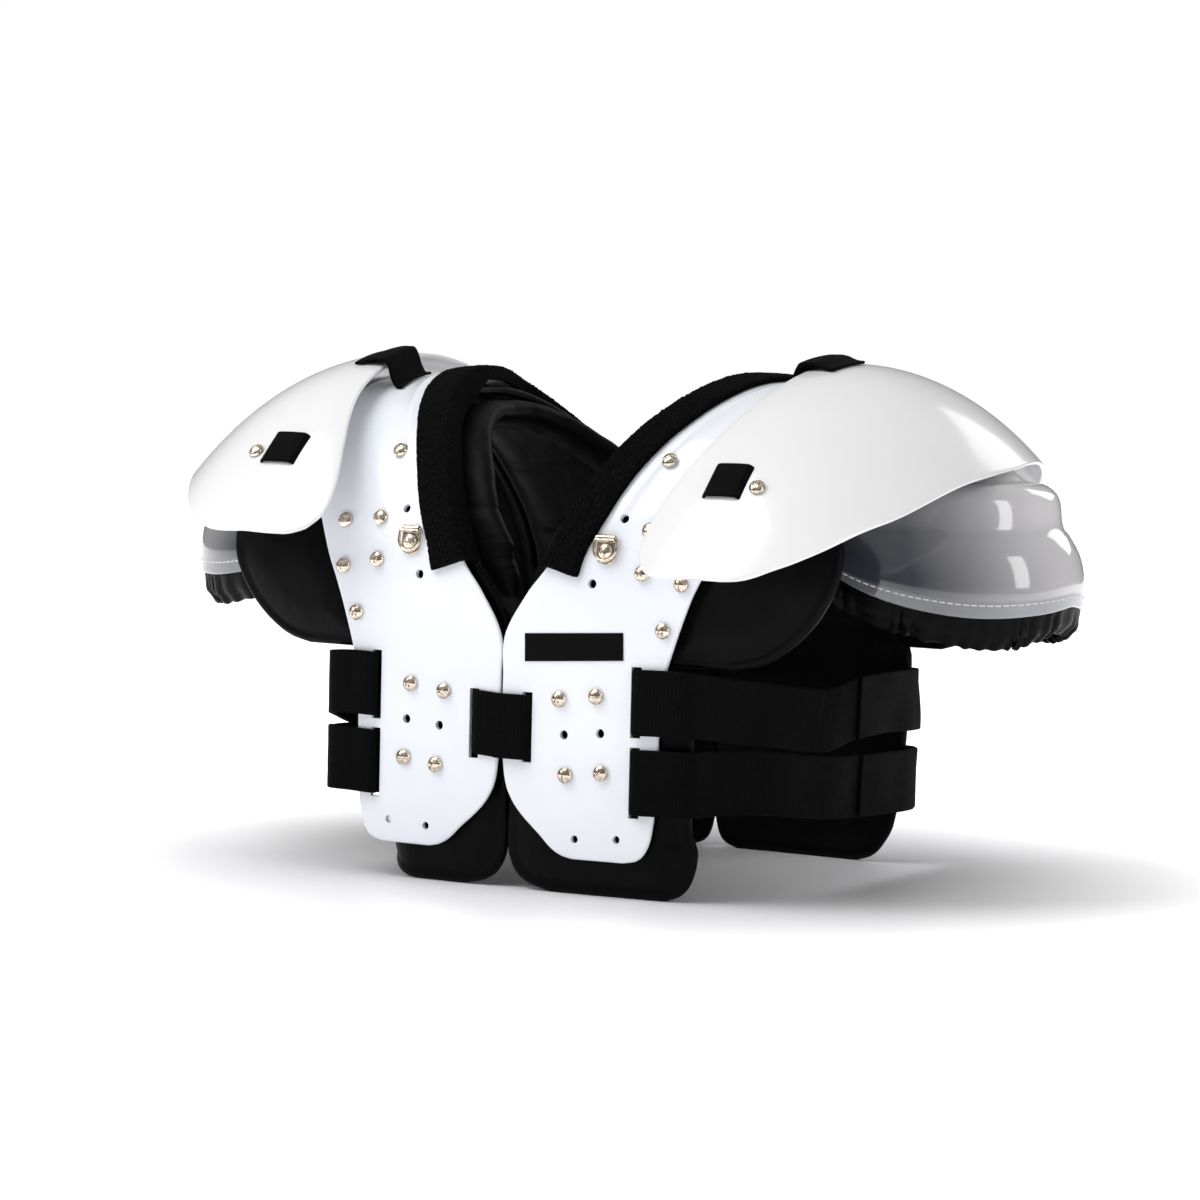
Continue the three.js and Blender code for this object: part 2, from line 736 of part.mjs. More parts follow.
// Keeper: a tab under the screw whose end is rolled round the ring's bar
function ringKeeper(frame) {
  const outline = new THREE.Shape();
  const half = KEEPER.tab / 2;
  outline.moveTo(-half, RING.bar);
  outline.lineTo(-half, KEEPER.tail + 5);
  outline.quadraticCurveTo(-half, KEEPER.tail, 0, KEEPER.tail);
  outline.quadraticCurveTo(half, KEEPER.tail, half, KEEPER.tail + 5);
  outline.lineTo(half, RING.bar);
  outline.closePath();
  const hole = new THREE.Path();
  hole.absarc(0, 0, SHANK + GAP, 0, Math.PI * 2, true);
  outline.holes.push(hole);
  const flat = new THREE.ExtrudeGeometry(outline, { depth: KEEPER.sheet, bevelEnabled: false, curveSegments: 5 });
  flat.translate(0, 0, GAP);
  const ring = new THREE.Shape();
  ring.absarc(0, 0, KEEPER.tube, 0, Math.PI * 2, false);
  const bore = new THREE.Path();
  bore.absarc(0, 0, KEEPER.bore, 0, Math.PI * 2, true);
  ring.holes.push(bore);
  const tube = new THREE.ExtrudeGeometry(ring, { depth: KEEPER.width, bevelEnabled: false, curveSegments: 5 });
  tube.translate(0, 0, -KEEPER.width / 2).rotateY(Math.PI / 2).translate(0, RING.bar, RING.out);
  return geometryOf(manifold(flat).add(manifold(tube))).applyMatrix4(frame);
}

// D-ring: a straight bar in the keeper and a round bow below it
function dRing(frame) {
  const path = [];
  for (const x of [-0.5, 0, 0.5]) path.push([x * 2 * (RING.half - 1.2), 0]);
  path.push([RING.half, -1.2]);
  for (const a of steps(8, 0, Math.PI)) {
    path.push([RING.half * Math.cos(a), -RING.drop - RING.half * Math.sin(a)]);
  }
  path.push([-RING.half, -1.2]);
  const n = path.length;
  const rings = path.map(([x, y], i) => {
    const [ax, ay] = path[(i + n - 1) % n];
    const [bx, by] = path[(i + 1) % n];
    const side = new THREE.Vector2(by - ay, ax - bx).normalize();
    return Array.from({ length: 6 }, (_, j) => {
      const t = j * Math.PI / 3;
      const k = Math.cos(t) * RING.wire;
      return new THREE.Vector3(x + side.x * k, y + side.y * k + RING.bar, RING.out + Math.sin(t) * RING.wire);
    });
  });
  return rod(rings, true).applyMatrix4(frame);
}

// Materials

const PLASTIC = new THREE.MeshStandardMaterial({ color: 0xe4e8f0, roughness: 0.28, metalness: 0 });
const FLAP_PLASTIC = new THREE.MeshStandardMaterial({ color: 0xe9ebef, roughness: 0.25, metalness: 0 });
const CUP_PLASTIC = new THREE.MeshStandardMaterial({ color: 0x8d9098, roughness: 0.2, metalness: 0 });
const NYLON = new THREE.MeshStandardMaterial({ color: 0x121214, roughness: 0.6, metalness: 0 });
const PILE = new THREE.MeshStandardMaterial({ color: 0x0b0a0b, roughness: 0.95, metalness: 0 });
const STRAP = new THREE.MeshStandardMaterial({ color: 0x0e0e0e, roughness: 0.8, metalness: 0 });
const NICKEL = new THREE.MeshStandardMaterial({ color: 0xc9bfae, roughness: 0.25, metalness: 1 });

// Assembly

const pad = new THREE.Group();
function add(name, geometry, material) {
  const mesh = new THREE.Mesh(geometry, material);
  mesh.name = name;
  pad.add(mesh);
}

const archShape = arch();
const linerShape = liner();
const trimShape = neckTrim();
const rollShape = neckRoll();
const frontWing = wing(WING_FRONT, runAt);
const backWing = wing(WING_BACK, (z) => SPINE - runAt(z));
const cupShape = cup();
const cupPadShape = cupPad();

for (const [side, sign] of Object.entries(SIDES)) {
  const placed = (geometry) => (sign > 0 ? geometry : mirror(geometry));
  const slide = FLAP_SLIDE[side];
  add(`arch_${side}`, placed(archShape), PLASTIC);
  add(`liner_${side}`, placed(linerShape), NYLON);
  add(`neck_trim_${side}`, placed(trimShape), PILE);
  add(`neck_roll_${side}`, placed(rollShape), NYLON);
  add(`wing_front_${side}`, placed(frontWing), NYLON);
  add(`wing_back_${side}`, placed(backWing), NYLON);
  add(`epaulet_${side}`, placed(flap(slide)), FLAP_PLASTIC);
  add(`cup_${side}`, placed(cupShape), CUP_PLASTIC);
  add(`cup_pad_${side}`, placed(cupPadShape), NYLON);
  add(`epaulet_strap_${side}`, placed(flapStrap(slide)), STRAP);
  add(`epaulet_tab_front_${side}`, placed(flapTab(-TAB.y, slide)), STRAP);
  add(`epaulet_tab_back_${side}`, placed(flapTab(TAB.y - 9, slide)), STRAP);
  add(`side_strap_upper_${side}`, placed(sideStrap(STRAPS.upper)), STRAP);
  add(`side_strap_lower_${side}`, placed(sideStrap(STRAPS.lower)), STRAP);
  const ringFrame = shellFrame(RING.x, runAt(RING.z));
  add(`ring_keeper_${side}`, placed(ringKeeper(ringFrame)), NICKEL);
  add(`d_ring_${side}`, placed(dRing(ringFrame)), NICKEL);
  add(`screw_ring_${side}`, placed(screw(ringFrame, KEEPER.sheet + GAP)), NICKEL);
  for (const [name, x, z] of SCREWS) {
    add(`screw_${name}_${side}`, placed(screw(shellFrame(x, runAt(z)))), NICKEL);
  }
  const flapScrew = screw(flapFrame(FLAP_SCREW.x, FLAP_SCREW.y + slide), 0, SHELL + 1.5);
  add(`screw_epaulet_${side}`, placed(flapScrew), NICKEL);
}

const crossFrame = (run) => {
  const p = spine(run);
  return new THREE.Matrix4().makeBasis(
    new THREE.Vector3(1, 0, 0),
    new THREE.Vector3(0, 0, -p.ny),
    new THREE.Vector3(0, p.ny, 0),
  ).setPosition(0, p.y, p.z);
};
add('chest_strap', crossStrap(crossFrame(STRAPS.chest.z)), STRAP);
add('back_strap', crossStrap(crossFrame(SPINE - STRAPS.back.z)), STRAP);

export default pad;
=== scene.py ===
# Football shoulder pad, seen from the wearer's front left: two moulded arches on
# black foam liners, domed flaps over clear cups, webbing, loop pile and screws.
# Shapes are worked out in millimetres and put into meshes in metres.

import bmesh
import bpy
import numpy as np
from mathutils import Matrix


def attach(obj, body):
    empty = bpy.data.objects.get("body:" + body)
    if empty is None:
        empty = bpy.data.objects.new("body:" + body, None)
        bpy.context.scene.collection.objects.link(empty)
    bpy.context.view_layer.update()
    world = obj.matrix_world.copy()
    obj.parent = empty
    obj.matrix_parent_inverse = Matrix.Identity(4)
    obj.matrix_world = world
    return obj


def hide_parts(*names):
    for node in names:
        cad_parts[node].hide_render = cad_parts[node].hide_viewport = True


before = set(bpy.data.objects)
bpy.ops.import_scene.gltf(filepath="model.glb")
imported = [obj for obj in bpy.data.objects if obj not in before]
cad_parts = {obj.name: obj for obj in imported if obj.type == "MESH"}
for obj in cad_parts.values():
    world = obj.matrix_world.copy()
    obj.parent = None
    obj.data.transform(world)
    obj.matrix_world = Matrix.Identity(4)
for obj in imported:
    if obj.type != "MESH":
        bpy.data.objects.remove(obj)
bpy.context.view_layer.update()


class Value:
    """Output of a shader node; arithmetic on it adds Math nodes."""

    def __init__(self, finish, output):
        self.finish, self.output = finish, output

    def math(self, operation, *numbers):
        return self.finish.node("Math", {"operation": operation}, dict(enumerate(numbers)))

    def __add__(self, other):
        return self.math("ADD", self, other)

    def __mul__(self, other):
        return self.math("MULTIPLY", self, other)

    __radd__ = __add__
    __rmul__ = __mul__


class Nodes:
    """Node tree of the world or of a material."""

    def __init__(self, owner):
        owner.use_nodes = True
        self.tree = owner.node_tree

    def node(self, kind, settings=None, inputs=None, output=0):
        """Add a node: its settings first, then the values or links of its sockets."""
        made = self.tree.nodes.new("ShaderNode" + kind)
        for key, value in (settings or {}).items():
            if key == "stops":
                for stop, (at, colour) in zip(made.color_ramp.elements, value):
                    stop.position, stop.color = at, (*colour, 1)
            else:
                setattr(made, key, value)
        for key, value in (inputs or {}).items():
            if isinstance(value, Value):
                self.tree.links.new(value.output, made.inputs[key])
            else:
                made.inputs[key].default_value = value
        return Value(self, made.outputs[output])

    def place(self, output="Object"):
        return self.node("TexCoord", output=output)

    def between(self, value, start, end, low=0.0, high=1.0, ease="LINEAR"):
        """A value mapped from start and end onto low and high, and held at those."""
        inputs = {0: value, 1: start, 2: end, 3: low, 4: high}
        return self.node("MapRange", {"interpolation_type": ease}, inputs)


class Finish(Nodes):
    """Material on one principled shader, whose plain values are set on its sockets."""

    def __init__(self, name, **plain):
        self.material = bpy.data.materials.new(name)
        super().__init__(self.material)
        self.shader = self.tree.nodes["Principled BSDF"]
        for key, value in plain.items():
            self.shader.inputs[key.replace("_", " ")].default_value = value

    def feed(self, **sockets):
        for key, value in sockets.items():
            self.tree.links.new(value.output, self.shader.inputs[key.replace("_", " ")])

    def cloth_ways(self):
        """The two lengths along a piece's own surface, in metres."""
        cloth = self.node("UVMap", {"uv_map": "cloth"})
        return [self.node("SeparateXYZ", inputs={0: cloth}, output=k) for k in (0, 1)]

    def sine(self, value):
        return value.math("SINE", value)

    def noise(self, scale, detail=3, stretch=None):
        """Noise from 0 to 1 at a scale for each metre, stretched by a vector if given."""
        vector = self.place()
        if stretch:
            vector = self.node("Mapping", inputs={"Vector": vector, "Scale": stretch})
        return self.node("TexNoise", inputs={"Vector": vector, "Scale": scale, "Detail": detail})

    def ramp(self, value, low, high, start=0.0, end=1.0):
        stops = [(start, low), (end, high)]
        return self.node("ValToRGB", {"stops": stops}, {"Fac": value})

    def bump(self, height, distance, strength=1.0, normal=None):
        inputs = {"Height": height, "Distance": distance, "Strength": strength}
        if normal:
            inputs["Normal"] = normal
        return self.node("Bump", inputs=inputs)


# Camera, floor and light: a long lens at the height of the chest, on a white
# paper floor that glows away from the object, with a large soft box overhead
# and tall ones around that the glossy plastic mirrors.

YAW, PITCH, ROLL = np.radians([30, 3.6, -1.3])
DISTANCE = 2.5
LENS = 123.36
TARGET = np.array([-0.00094, -0.025, 0.16482])
PAD_MIDDLE = (0, 0, 0.2)


def added(name, data):
    """Object with its data, added to the scene."""
    made = bpy.data.objects.new(name, data)
    bpy.context.collection.objects.link(made)
    return made


def stand(thing, right, up, back, place):
    """Put a camera or lamp at a place, with its own axes along three directions."""
    turn = np.eye(4)
    turn[:3] = np.column_stack([right, up, back, place])
    thing.matrix_world = Matrix(turn.tolist())


def unit(vectors):
    """The same directions, one long."""
    return vectors / np.linalg.norm(vectors, axis=-1, keepdims=True)


forward = np.array([-np.sin(YAW) * np.cos(PITCH), np.cos(YAW) * np.cos(PITCH), -np.sin(PITCH)])
level = np.array([np.cos(YAW), np.sin(YAW), 0])
down = np.cross(forward, level)
across_view = np.cos(ROLL) * level + np.sin(ROLL) * down
down_view = np.cos(ROLL) * down - np.sin(ROLL) * level

lens = bpy.data.cameras.new("camera")
lens.sensor_width = 36
lens.lens = LENS
lens.clip_end = 40
camera = added("camera", lens)
stand(camera, across_view, -down_view, -forward, TARGET - forward * DISTANCE)
bpy.context.scene.camera = camera


def soft_box(name, place, size, power, aim=PAD_MIDDLE):
    """Rectangular lamp at a place, facing a point."""
    lamp = bpy.data.lights.new(name, "AREA")
    lamp.shape = "RECTANGLE"
    lamp.size, lamp.size_y = size
    lamp.energy = power
    z = unit(np.array(place, float) - np.array(aim, float))
    x = unit(np.cross([0, 0, 1], z))
    stand(added(name, lamp), x, np.cross(z, x), z, place)


soft_box("overhead", (-0.8, -0.95, 2.1), (1.6, 1.4), 33)
soft_box("window_left", (-1.9, -1.7, 1.5), (0.9, 1.1), 14)
soft_box("window_right", (2.1, -0.5, 0.9), (0.6, 1.2), 9, (0.1, 0, 0.2))
soft_box("window_back", (0.6, 2.4, 1.4), (0.9, 1.1), 6)


# The room is white behind everything the camera sees, bright overhead and dim
# at eye level, so that the metal and the black nylon have something dark to mirror.
world = bpy.data.worlds.new("room")
room = Nodes(world)
up = room.node("SeparateXYZ", inputs={0: room.place("Generated")}, output="Z")
glow = room.between(up, 0.02, 0.85, 0.13, 0.55)
seen = room.node("LightPath", output="Is Camera Ray")
strength = room.node("Mix", inputs={"Factor": seen, "A": glow, "B": 1.02}, output="Result")
backdrop = room.tree.nodes["Background"]
backdrop.inputs["Color"].default_value = (1, 1, 1, 1)
room.tree.links.new(strength.output, backdrop.inputs["Strength"])
bpy.context.scene.world = world
bpy.context.scene.view_settings.view_transform = "Standard"

floor_mesh = bpy.data.meshes.new("floor")
floor_mesh.from_pydata([(-9, -9, 0), (9, -9, 0), (9, 9, 0), (-9, 9, 0)], [], [(0, 1, 2, 3)])
paper = Finish("paper", Base_Color=(0.93, 0.915, 0.935, 1), Roughness=0.4, Emission_Strength=1)
# Painted light: the paper glows, from none within 0.16 m of the middle up to 0.8 beyond 0.5 m, lifting the
# floor's shade and the pads' cast shadow away from the pads.
reach = paper.node("VectorMath", {"operation": "LENGTH"}, {0: paper.place()}, "Value")
paper.feed(Emission_Color=paper.between(reach, 0.16, 0.5, 0, 0.8, "SMOOTHSTEP"))
floor_mesh.materials.append(paper.material)
floor = added("floor", floor_mesh)


# Arches: one sheet of milky polyethylene for each half, moulded from the chest
# over the shoulder to the back, with slots for the straps and spare holes.

MM = 0.001
SIDES = (("left", 1), ("right", -1))
HALF_DEPTH = 140
SPRING = 175
ARC = 131
FLAT = HALF_DEPTH - ARC
QUARTER = ARC * np.pi / 2
SPINE = 2 * (SPRING + QUARTER + FLAT)
SHELL = 3
FALL, FALL_BEND, FALL_SLOPE = 4.5, 110, 0.09
CLOSER = np.array([0, 0.07, 0.27, 0.58])


def held(share):
    """Shares kept from 0 to 1."""
    return np.clip(share, 0, 1)


def circle(count):
    """Even angles all the way round."""
    return np.linspace(0, 2 * np.pi, count, endpoint=False)


def smooth_table(rows, at, column=1):
    """Value of a column at a place in the first: cubics whose slope at a row is its neighbours' chord."""
    rows = np.asarray(rows, float)
    x, v = rows[:, 0], rows[:, column]
    k = np.arange(len(x))
    before, after = np.maximum(k - 1, 0), np.minimum(k + 1, len(x) - 1)
    slope = (v[after] - v[before]) / (x[after] - x[before])
    at = np.clip(at, x[0], x[-1])
    i = np.clip(np.searchsorted(x, at, side="right") - 1, 0, len(x) - 2)
    span = x[i + 1] - x[i]
    t = (at - x[i]) / span
    ends = v[i] * (2 * t**3 - 3 * t**2 + 1) + v[i + 1] * (3 * t**2 - 2 * t**3)
    return ends + span * (slope[i] * (t**3 - 2 * t**2 + t) + slope[i + 1] * (t**3 - t**2))


def run_at(z):
    """Run up the chest side to a height: straight to the spring line, then round the arc."""
    z = np.asarray(z, float)
    bent = held((z - SPRING) / ARC)
    return np.where(z <= SPRING, z, SPRING + ARC * np.arcsin(bent))


def drop(x):
    """Fall of the shell off centre: a parabola as far as the bend, then a plain slope."""
    x = np.abs(x)
    return FALL * (np.minimum(x, FALL_BEND) / 100) ** 2 + FALL_SLOPE * np.maximum(0, x - FALL_BEND)


def spine(s):
    """Middle line by run: upright, quarter circle, level, and the same again down the back."""
    back = s > SPINE / 2
    t = np.where(back, SPINE - s, s)
    side = np.where(back, 1.0, -1.0)
    a = np.clip((t - SPRING) / ARC, 0, np.pi / 2)
    y = side * (FLAT + ARC * np.cos(a))
    y = np.where(t > SPRING + QUARTER, -side * (t - SPRING - QUARTER - FLAT), y)
    z = np.where(t < SPRING, t, SPRING + ARC * np.sin(a))
    return y, z, side * np.cos(a), np.sin(a)


def points_at(*coordinates):
    """Points from their coordinates, which may be rows, columns or single values."""
    return np.stack(np.broadcast_arrays(*coordinates), -1)


def on_shell(x, s, out):
    """Point off centre by x at run s, out above the face along the middle line's normal."""
    y, z, ny, nz = spine(s)
    h = out - drop(x)
    return points_at(x, y + ny * h, z + nz * h)


def by_run(front, top, back):
    """Edge table by run, from heights on the chest side, the top, and heights on the back."""
    rows = [(run_at(z), a, b) for z, a, b in front] + [(SPINE / 2, *top)]
    return rows + [(SPINE - run_at(z), a, b) for z, a, b in back]


def ticks(a, b, step, rim=0.0):
    """Even places from a to b, closer together within rim of each end."""
    near = rim * CLOSER
    inner = np.linspace(a + rim, b - rim, max(int(round((b - a - 2 * rim) / step)), 2) + 1)
    return np.concatenate([a + near, inner, b - near[::-1]]) if rim else inner


def joined(*places):
    """One sorted row from several rows of places."""
    return np.unique(np.concatenate(places))


def shares(widths, count, rim):
    """Shares of each row's width: even ones, and closer ones within rim of both edges."""
    w = widths[:, None]
    r = np.minimum(rim, 0.4 * w)
    near = r * CLOSER
    inner = r + (w - 2 * r) * np.linspace(0, 1, count)
    return np.hstack([near, inner, w - near[:, ::-1]]) / w


def travelled(line):
    """Length travelled along a line of points, at each point."""
    return np.concatenate([[0], np.cumsum(np.linalg.norm(np.diff(line, axis=0), axis=1))])


def from_edge(grid):
    """Distance of each grid point from the line round the grid's border."""
    ring = np.concatenate([grid[:-1, 0], grid[-1, :-1], grid[:0:-1, -1], grid[0, :0:-1]])
    ring = ring[np.linalg.norm(ring - np.roll(ring, -1, axis=0), axis=1) > 1e-6]
    along = np.roll(ring, -1, axis=0) - ring
    square = (along**2).sum(-1)
    distance = []
    for row in grid:
        to = row[:, None] - ring
        t = held((to * along).sum(-1) / square)
        distance.append(np.sqrt(((to - t[..., None] * along) ** 2).sum(-1).min(1)))
    return np.array(distance)


def quads(index):
    """Four corners of each cell of a grid of point numbers."""
    corners = [index[:-1, :-1], index[1:, :-1], index[1:, 1:], index[:-1, 1:]]
    return np.stack(corners, -1).reshape(-1, 4)


def sheet(at, half, half_in=None):
    """Closed sheet: the middle surface at(0) pushed out by half and in by half_in, both
    functions of the distance from the edge that start at 0, so the faces meet there."""
    edge = from_edge(at(0))
    top, low = at(half(edge)), at(-(half_in or half)(edge))
    n, m = edge.shape
    upper = np.arange(n * m).reshape(n, m)
    lower = upper.copy()
    lower[1:-1, 1:-1] = n * m + np.arange((n - 2) * (m - 2)).reshape(n - 2, m - 2)
    points = np.concatenate([top.reshape(-1, 3), low[1:-1, 1:-1].reshape(-1, 3)])
    return points, np.concatenate([quads(upper), quads(lower)[:, ::-1]])


def grid_map(u, v):
    """Map coordinates in metres for both faces of a sheet, from its grid's two lengths."""
    both = points_at(u, v) * MM
    return np.concatenate([both.reshape(-1, 2), both[1:-1, 1:-1].reshape(-1, 2)])


def rounded(half, radius=None):
    """Half thickness by distance from the edge: a quarter circle, then level."""
    radius = radius or half
    return lambda e: half * np.sqrt(1 - (1 - np.minimum(e / radius, 1)) ** 2)


def piece(name, skin, finish, nodes=(), sign=1, uv=None, body="pads", sharp=50):
    """Mesh object in metres from a skin's points and faces: mirrored by sign, its faces
    turned outward, with its finish and the nodes that it stands for."""
    points, faces = skin[0] * (sign, 1, 1), skin[1]
    a, b, c, d = (points[faces[:, k]] for k in range(4))
    if (a * (np.cross(b, c) + np.cross(c, d))).sum() < 0:
        faces = faces[:, ::-1]
    mesh = bpy.data.meshes.new(name)
    mesh.vertices.add(len(points))
    mesh.vertices.foreach_set("co", (points * MM).astype(np.float32).ravel())
    mesh.loops.add(faces.size)
    mesh.loops.foreach_set("vertex_index", faces.ravel().astype(np.int32))
    mesh.polygons.add(len(faces))
    mesh.polygons.foreach_set("loop_start", np.arange(0, faces.size, 4, dtype=np.int32))
    mesh.update(calc_edges=True)
    if uv is not None:
        layer = mesh.uv_layers.new(name="cloth")
        layer.uv.foreach_set("vector", uv[faces.ravel()].astype(np.float32).ravel())
    mesh.polygons.foreach_set("use_smooth", np.ones(len(faces), bool))
    mesh.set_sharp_from_angle(angle=np.radians(sharp))
    mesh.materials.append(finish.material)
    made = added(name, mesh)
    if nodes:
        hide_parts(*nodes)
    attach(made, body)
    return made


def moulded(name, dark, light, roughness):
    """Moulded plastic: cloudy colour, faint waviness, scuffs that dull it a little."""
    finish = Finish(name, Coat_Weight=0.35, Coat_Roughness=0.06, IOR=1.5)
    cloud = finish.noise(9, 2)
    scuff = finish.noise(90, 5)
    finish.feed(
        Base_Color=finish.ramp(cloud, dark, light, 0.3, 0.7),
        Roughness=scuff * 0.08 + (roughness - 0.04),
        Normal=finish.bump(finish.noise(14, 1), 0.0012, 0.35, finish.bump(scuff, 0.00001, 0.3)),
    )
    return finish


shell_plastic = moulded("shell_plastic", (0.76, 0.79, 0.85), (0.82, 0.845, 0.89), 0.24)

ARCH_FRONT = [
    (21.5, 49, 82), (23, 42, 90), (27, 35, 95), (34, 27.5, 98.5), (44, 16, 100.5), (52, 9, 101.5),
    (62, 4, 102.5), (78, 1.5, 103), (95, 0.7, 103), (125, 0.7, 105), (150, 1.5, 112), (175, 16, 121),
    (191, 28.5, 128), (208, 36.5, 135), (226, 45, 143), (250, 56, 151), (268, 66, 155.5),
    (285, 77.5, 158.5), (299, 88, 160.5),
]
ARCH_BACK = [
    (299, 107, 160.5), (285, 101, 159), (268, 89.5, 157), (250, 76.5, 154), (232, 61, 150),
    (216, 44, 146), (200, 27, 143), (186, 12, 140.5), (174, 3, 139), (160, 0.7, 137), (140, 0.7, 134),
    (100, 0.7, 131), (64, 0.7, 128), (48, 4, 124), (36, 13, 117), (28, 25, 107), (23, 40, 92),
]
ARCH_EDGES = by_run(ARCH_FRONT, (98, 161), ARCH_BACK)
OPEN_HOLES = [
    (59, 182.2, 2.7), (74.5, 221, 2.7), (42.7, 93.6, 2.7), (66.3, 95.8, 2.7), (51.1, 33.3, 2.3),
    (78.1, 35, 2.3),
]
STRAP_WIDTH = 38
CHEST_SLOT, FRONT_SLOT, BACK_SLOT = 18.2, 88.7, 117.3
CROSS = {"chest": 96.5, "back": 112}
SIDE_STRAPS = {"upper": (115, 103), "lower": (68.5, 55)}


def strip(edges, rows, count, rim):
    """Off-centre places of a strip by run: shares of the way from its inner to its outer edge."""
    inner, outer = smooth_table(edges, rows), smooth_table(edges, rows, 2)
    v = shares(outer - inner, count, rim)
    return inner[:, None] + v * (outer - inner)[:, None]


def cutters():
    """Prisms that stand across the arch's wall at its holes and slots, as one mesh."""
    holes = [(x, run_at(z), r, r, 24) for x, z, r in OPEN_HOLES]
    slot = (3.2, STRAP_WIDTH / 2 + 1.5)
    holes += [(CHEST_SLOT, CROSS["chest"], *slot, 4), (CHEST_SLOT, SPINE - CROSS["back"], *slot, 4)]
    for front, back in SIDE_STRAPS.values():
        holes += [(FRONT_SLOT, front, *slot, 4), (BACK_SLOT, SPINE - back, *slot, 4)]
    points, faces = [], []
    for x, s, half_x, half_s, sides in holes:
        a = (np.arange(sides) + 0.5) * 2 * np.pi / sides
        grow = 1 / np.cos(np.pi / sides) if sides == 4 else 1
        y, z, ny, nz = spine(s)
        for h in (4, -9):
            out = h - drop(x)
            along = half_s * grow * np.sin(a)
            across = x + half_x * grow * np.cos(a)
            points.append(points_at(across, y + ny * out + nz * along, z + nz * out - ny * along))
        first = sum(len(p) for p in points) - 2 * sides
        k = np.arange(sides)
        for i, j in zip(k, np.roll(k, -1)):
            faces.append((first + i, first + sides + i, first + sides + j, first + j))
        faces += [tuple(first + k), tuple(first + sides + k[::-1])]
    return np.concatenate(points), faces


def punch(made, points, faces):
    """Cut prisms out of a piece for good."""
    mesh = bpy.data.meshes.new("punch")
    mesh.from_pydata((points * MM).tolist(), [], faces)
    mesh.update()
    tool = added("punch", mesh)
    holes = made.modifiers.new("holes", "BOOLEAN")
    holes.object, holes.solver = tool, "EXACT"
    cut = bpy.data.meshes.new_from_object(made.evaluated_get(bpy.context.evaluated_depsgraph_get()))
    made.modifiers.clear()
    made.data = cut
    cut.set_sharp_from_angle(angle=np.radians(35))
    bpy.data.objects.remove(tool)


arch_rows = joined(
    ticks(21.5, 60, 2, 1.5), ticks(60, SPINE - 60, 4), ticks(SPINE - 60, SPINE - 23, 2, 1.5),
)
arch_x = strip(ARCH_EDGES, arch_rows, 60, 1.5)


def moulded_rib():
    """Rise of a rib 25 mm from the neck edge, with a groove beyond, over the upper part."""
    from_neck = (arch_x - arch_x[:, :1]) * 0.9
    front = held((arch_rows - run_at(205)) / 40)
    back = held((SPINE - run_at(230) - arch_rows) / 40)
    crest = np.exp(-(((from_neck - 25) / 2.6) ** 2))
    return (crest - 0.6 * np.exp(-(((from_neck - 33) / 5) ** 2))) * (front * back)[:, None]


rib = moulded_rib()
for side, sign in SIDES:
    wall = sheet(
        lambda h: on_shell(arch_x, arch_rows[:, None], h - SHELL / 2 + rib), rounded(SHELL / 2, 1.2),
    )
    arch = piece(f"arch_{side}_moulding", wall, shell_plastic, [f"arch_{side}"], sign)
    holes, hole_faces = cutters()
    punch(arch, holes * (sign, 1, 1), [f if sign > 0 else f[::-1] for f in hole_faces])

# A bare black plate lies on the wearer's left chest plate: its corners by place and run,
# clockwise from the upper inner one.
PLATE = np.array([(15.6, 151.3), (79.9, 154.8), (80.4, 138.7), (16, 134.9)])
plate_black = Finish(
    "label_black", Base_Color=(0.0015, 0.0015, 0.0018, 1), Roughness=0.42, Specular_IOR_Level=0.06,
)
along = np.concatenate([[0, 0.004, 0.012], np.linspace(0.03, 0.97, 15), [0.988, 0.996, 1]])
across = along[:, None, None]
lower_edge = PLATE[3] + across * (PLATE[2] - PLATE[3])
upper_edge = PLATE[0] + across * (PLATE[1] - PLATE[0])
plate_grid = lower_edge + along[None, :, None] * (upper_edge - lower_edge)
plate = sheet(lambda h: on_shell(plate_grid[..., 0], plate_grid[..., 1], h + 0.4), rounded(0.35, 0.3))
piece("label_left_plate", plate, plate_black)


# Liners: nylon-covered foam of one piece for each half, from the floor under the
# chest plate over the shoulder to the floor under the back plate, bound at the
# edge and sewn across into channels on the body side.

LINER_OUT, LINER_IN = 5.9, 18


def black_nylon(name, roughness=0.42):
    """Coated nylon: near black, a fine weave, long soft creases, a low sheen."""
    finish = Finish(name, Specular_IOR_Level=0.07)
    crease = finish.noise(34, 4, stretch=(1, 1, 0.45))
    weave = finish.noise(2600, 1)
    finish.feed(
        Base_Color=finish.ramp(crease, (0.0006, 0.0006, 0.0007), (0.002, 0.0019, 0.002), 0.3, 0.75),
        Roughness=crease * 0.16 + (roughness - 0.08),
        Normal=finish.bump(crease, 0.004, 0.5, finish.bump(weave, 0.00008, 0.3)),
    )
    return finish


def cushion(half, binding=3.2, seam=8.0, crown=22.0):
    """Half thickness of a bound pad: a round bound edge, a sewn groove, then a crown."""
    def by_edge(e):
        bound = 0.55 * half * np.sqrt(1 - (1 - np.minimum(e / binding, 1)) ** 2)
        full = 0.55 * half + 0.45 * half * np.sin(held((e - seam) / (crown - seam)) * np.pi / 2)
        groove = 0.13 * half * np.exp(-(((e - seam * 0.8) / 1.5) ** 2))
        return np.where(e < seam, bound, full) - groove
    return by_edge


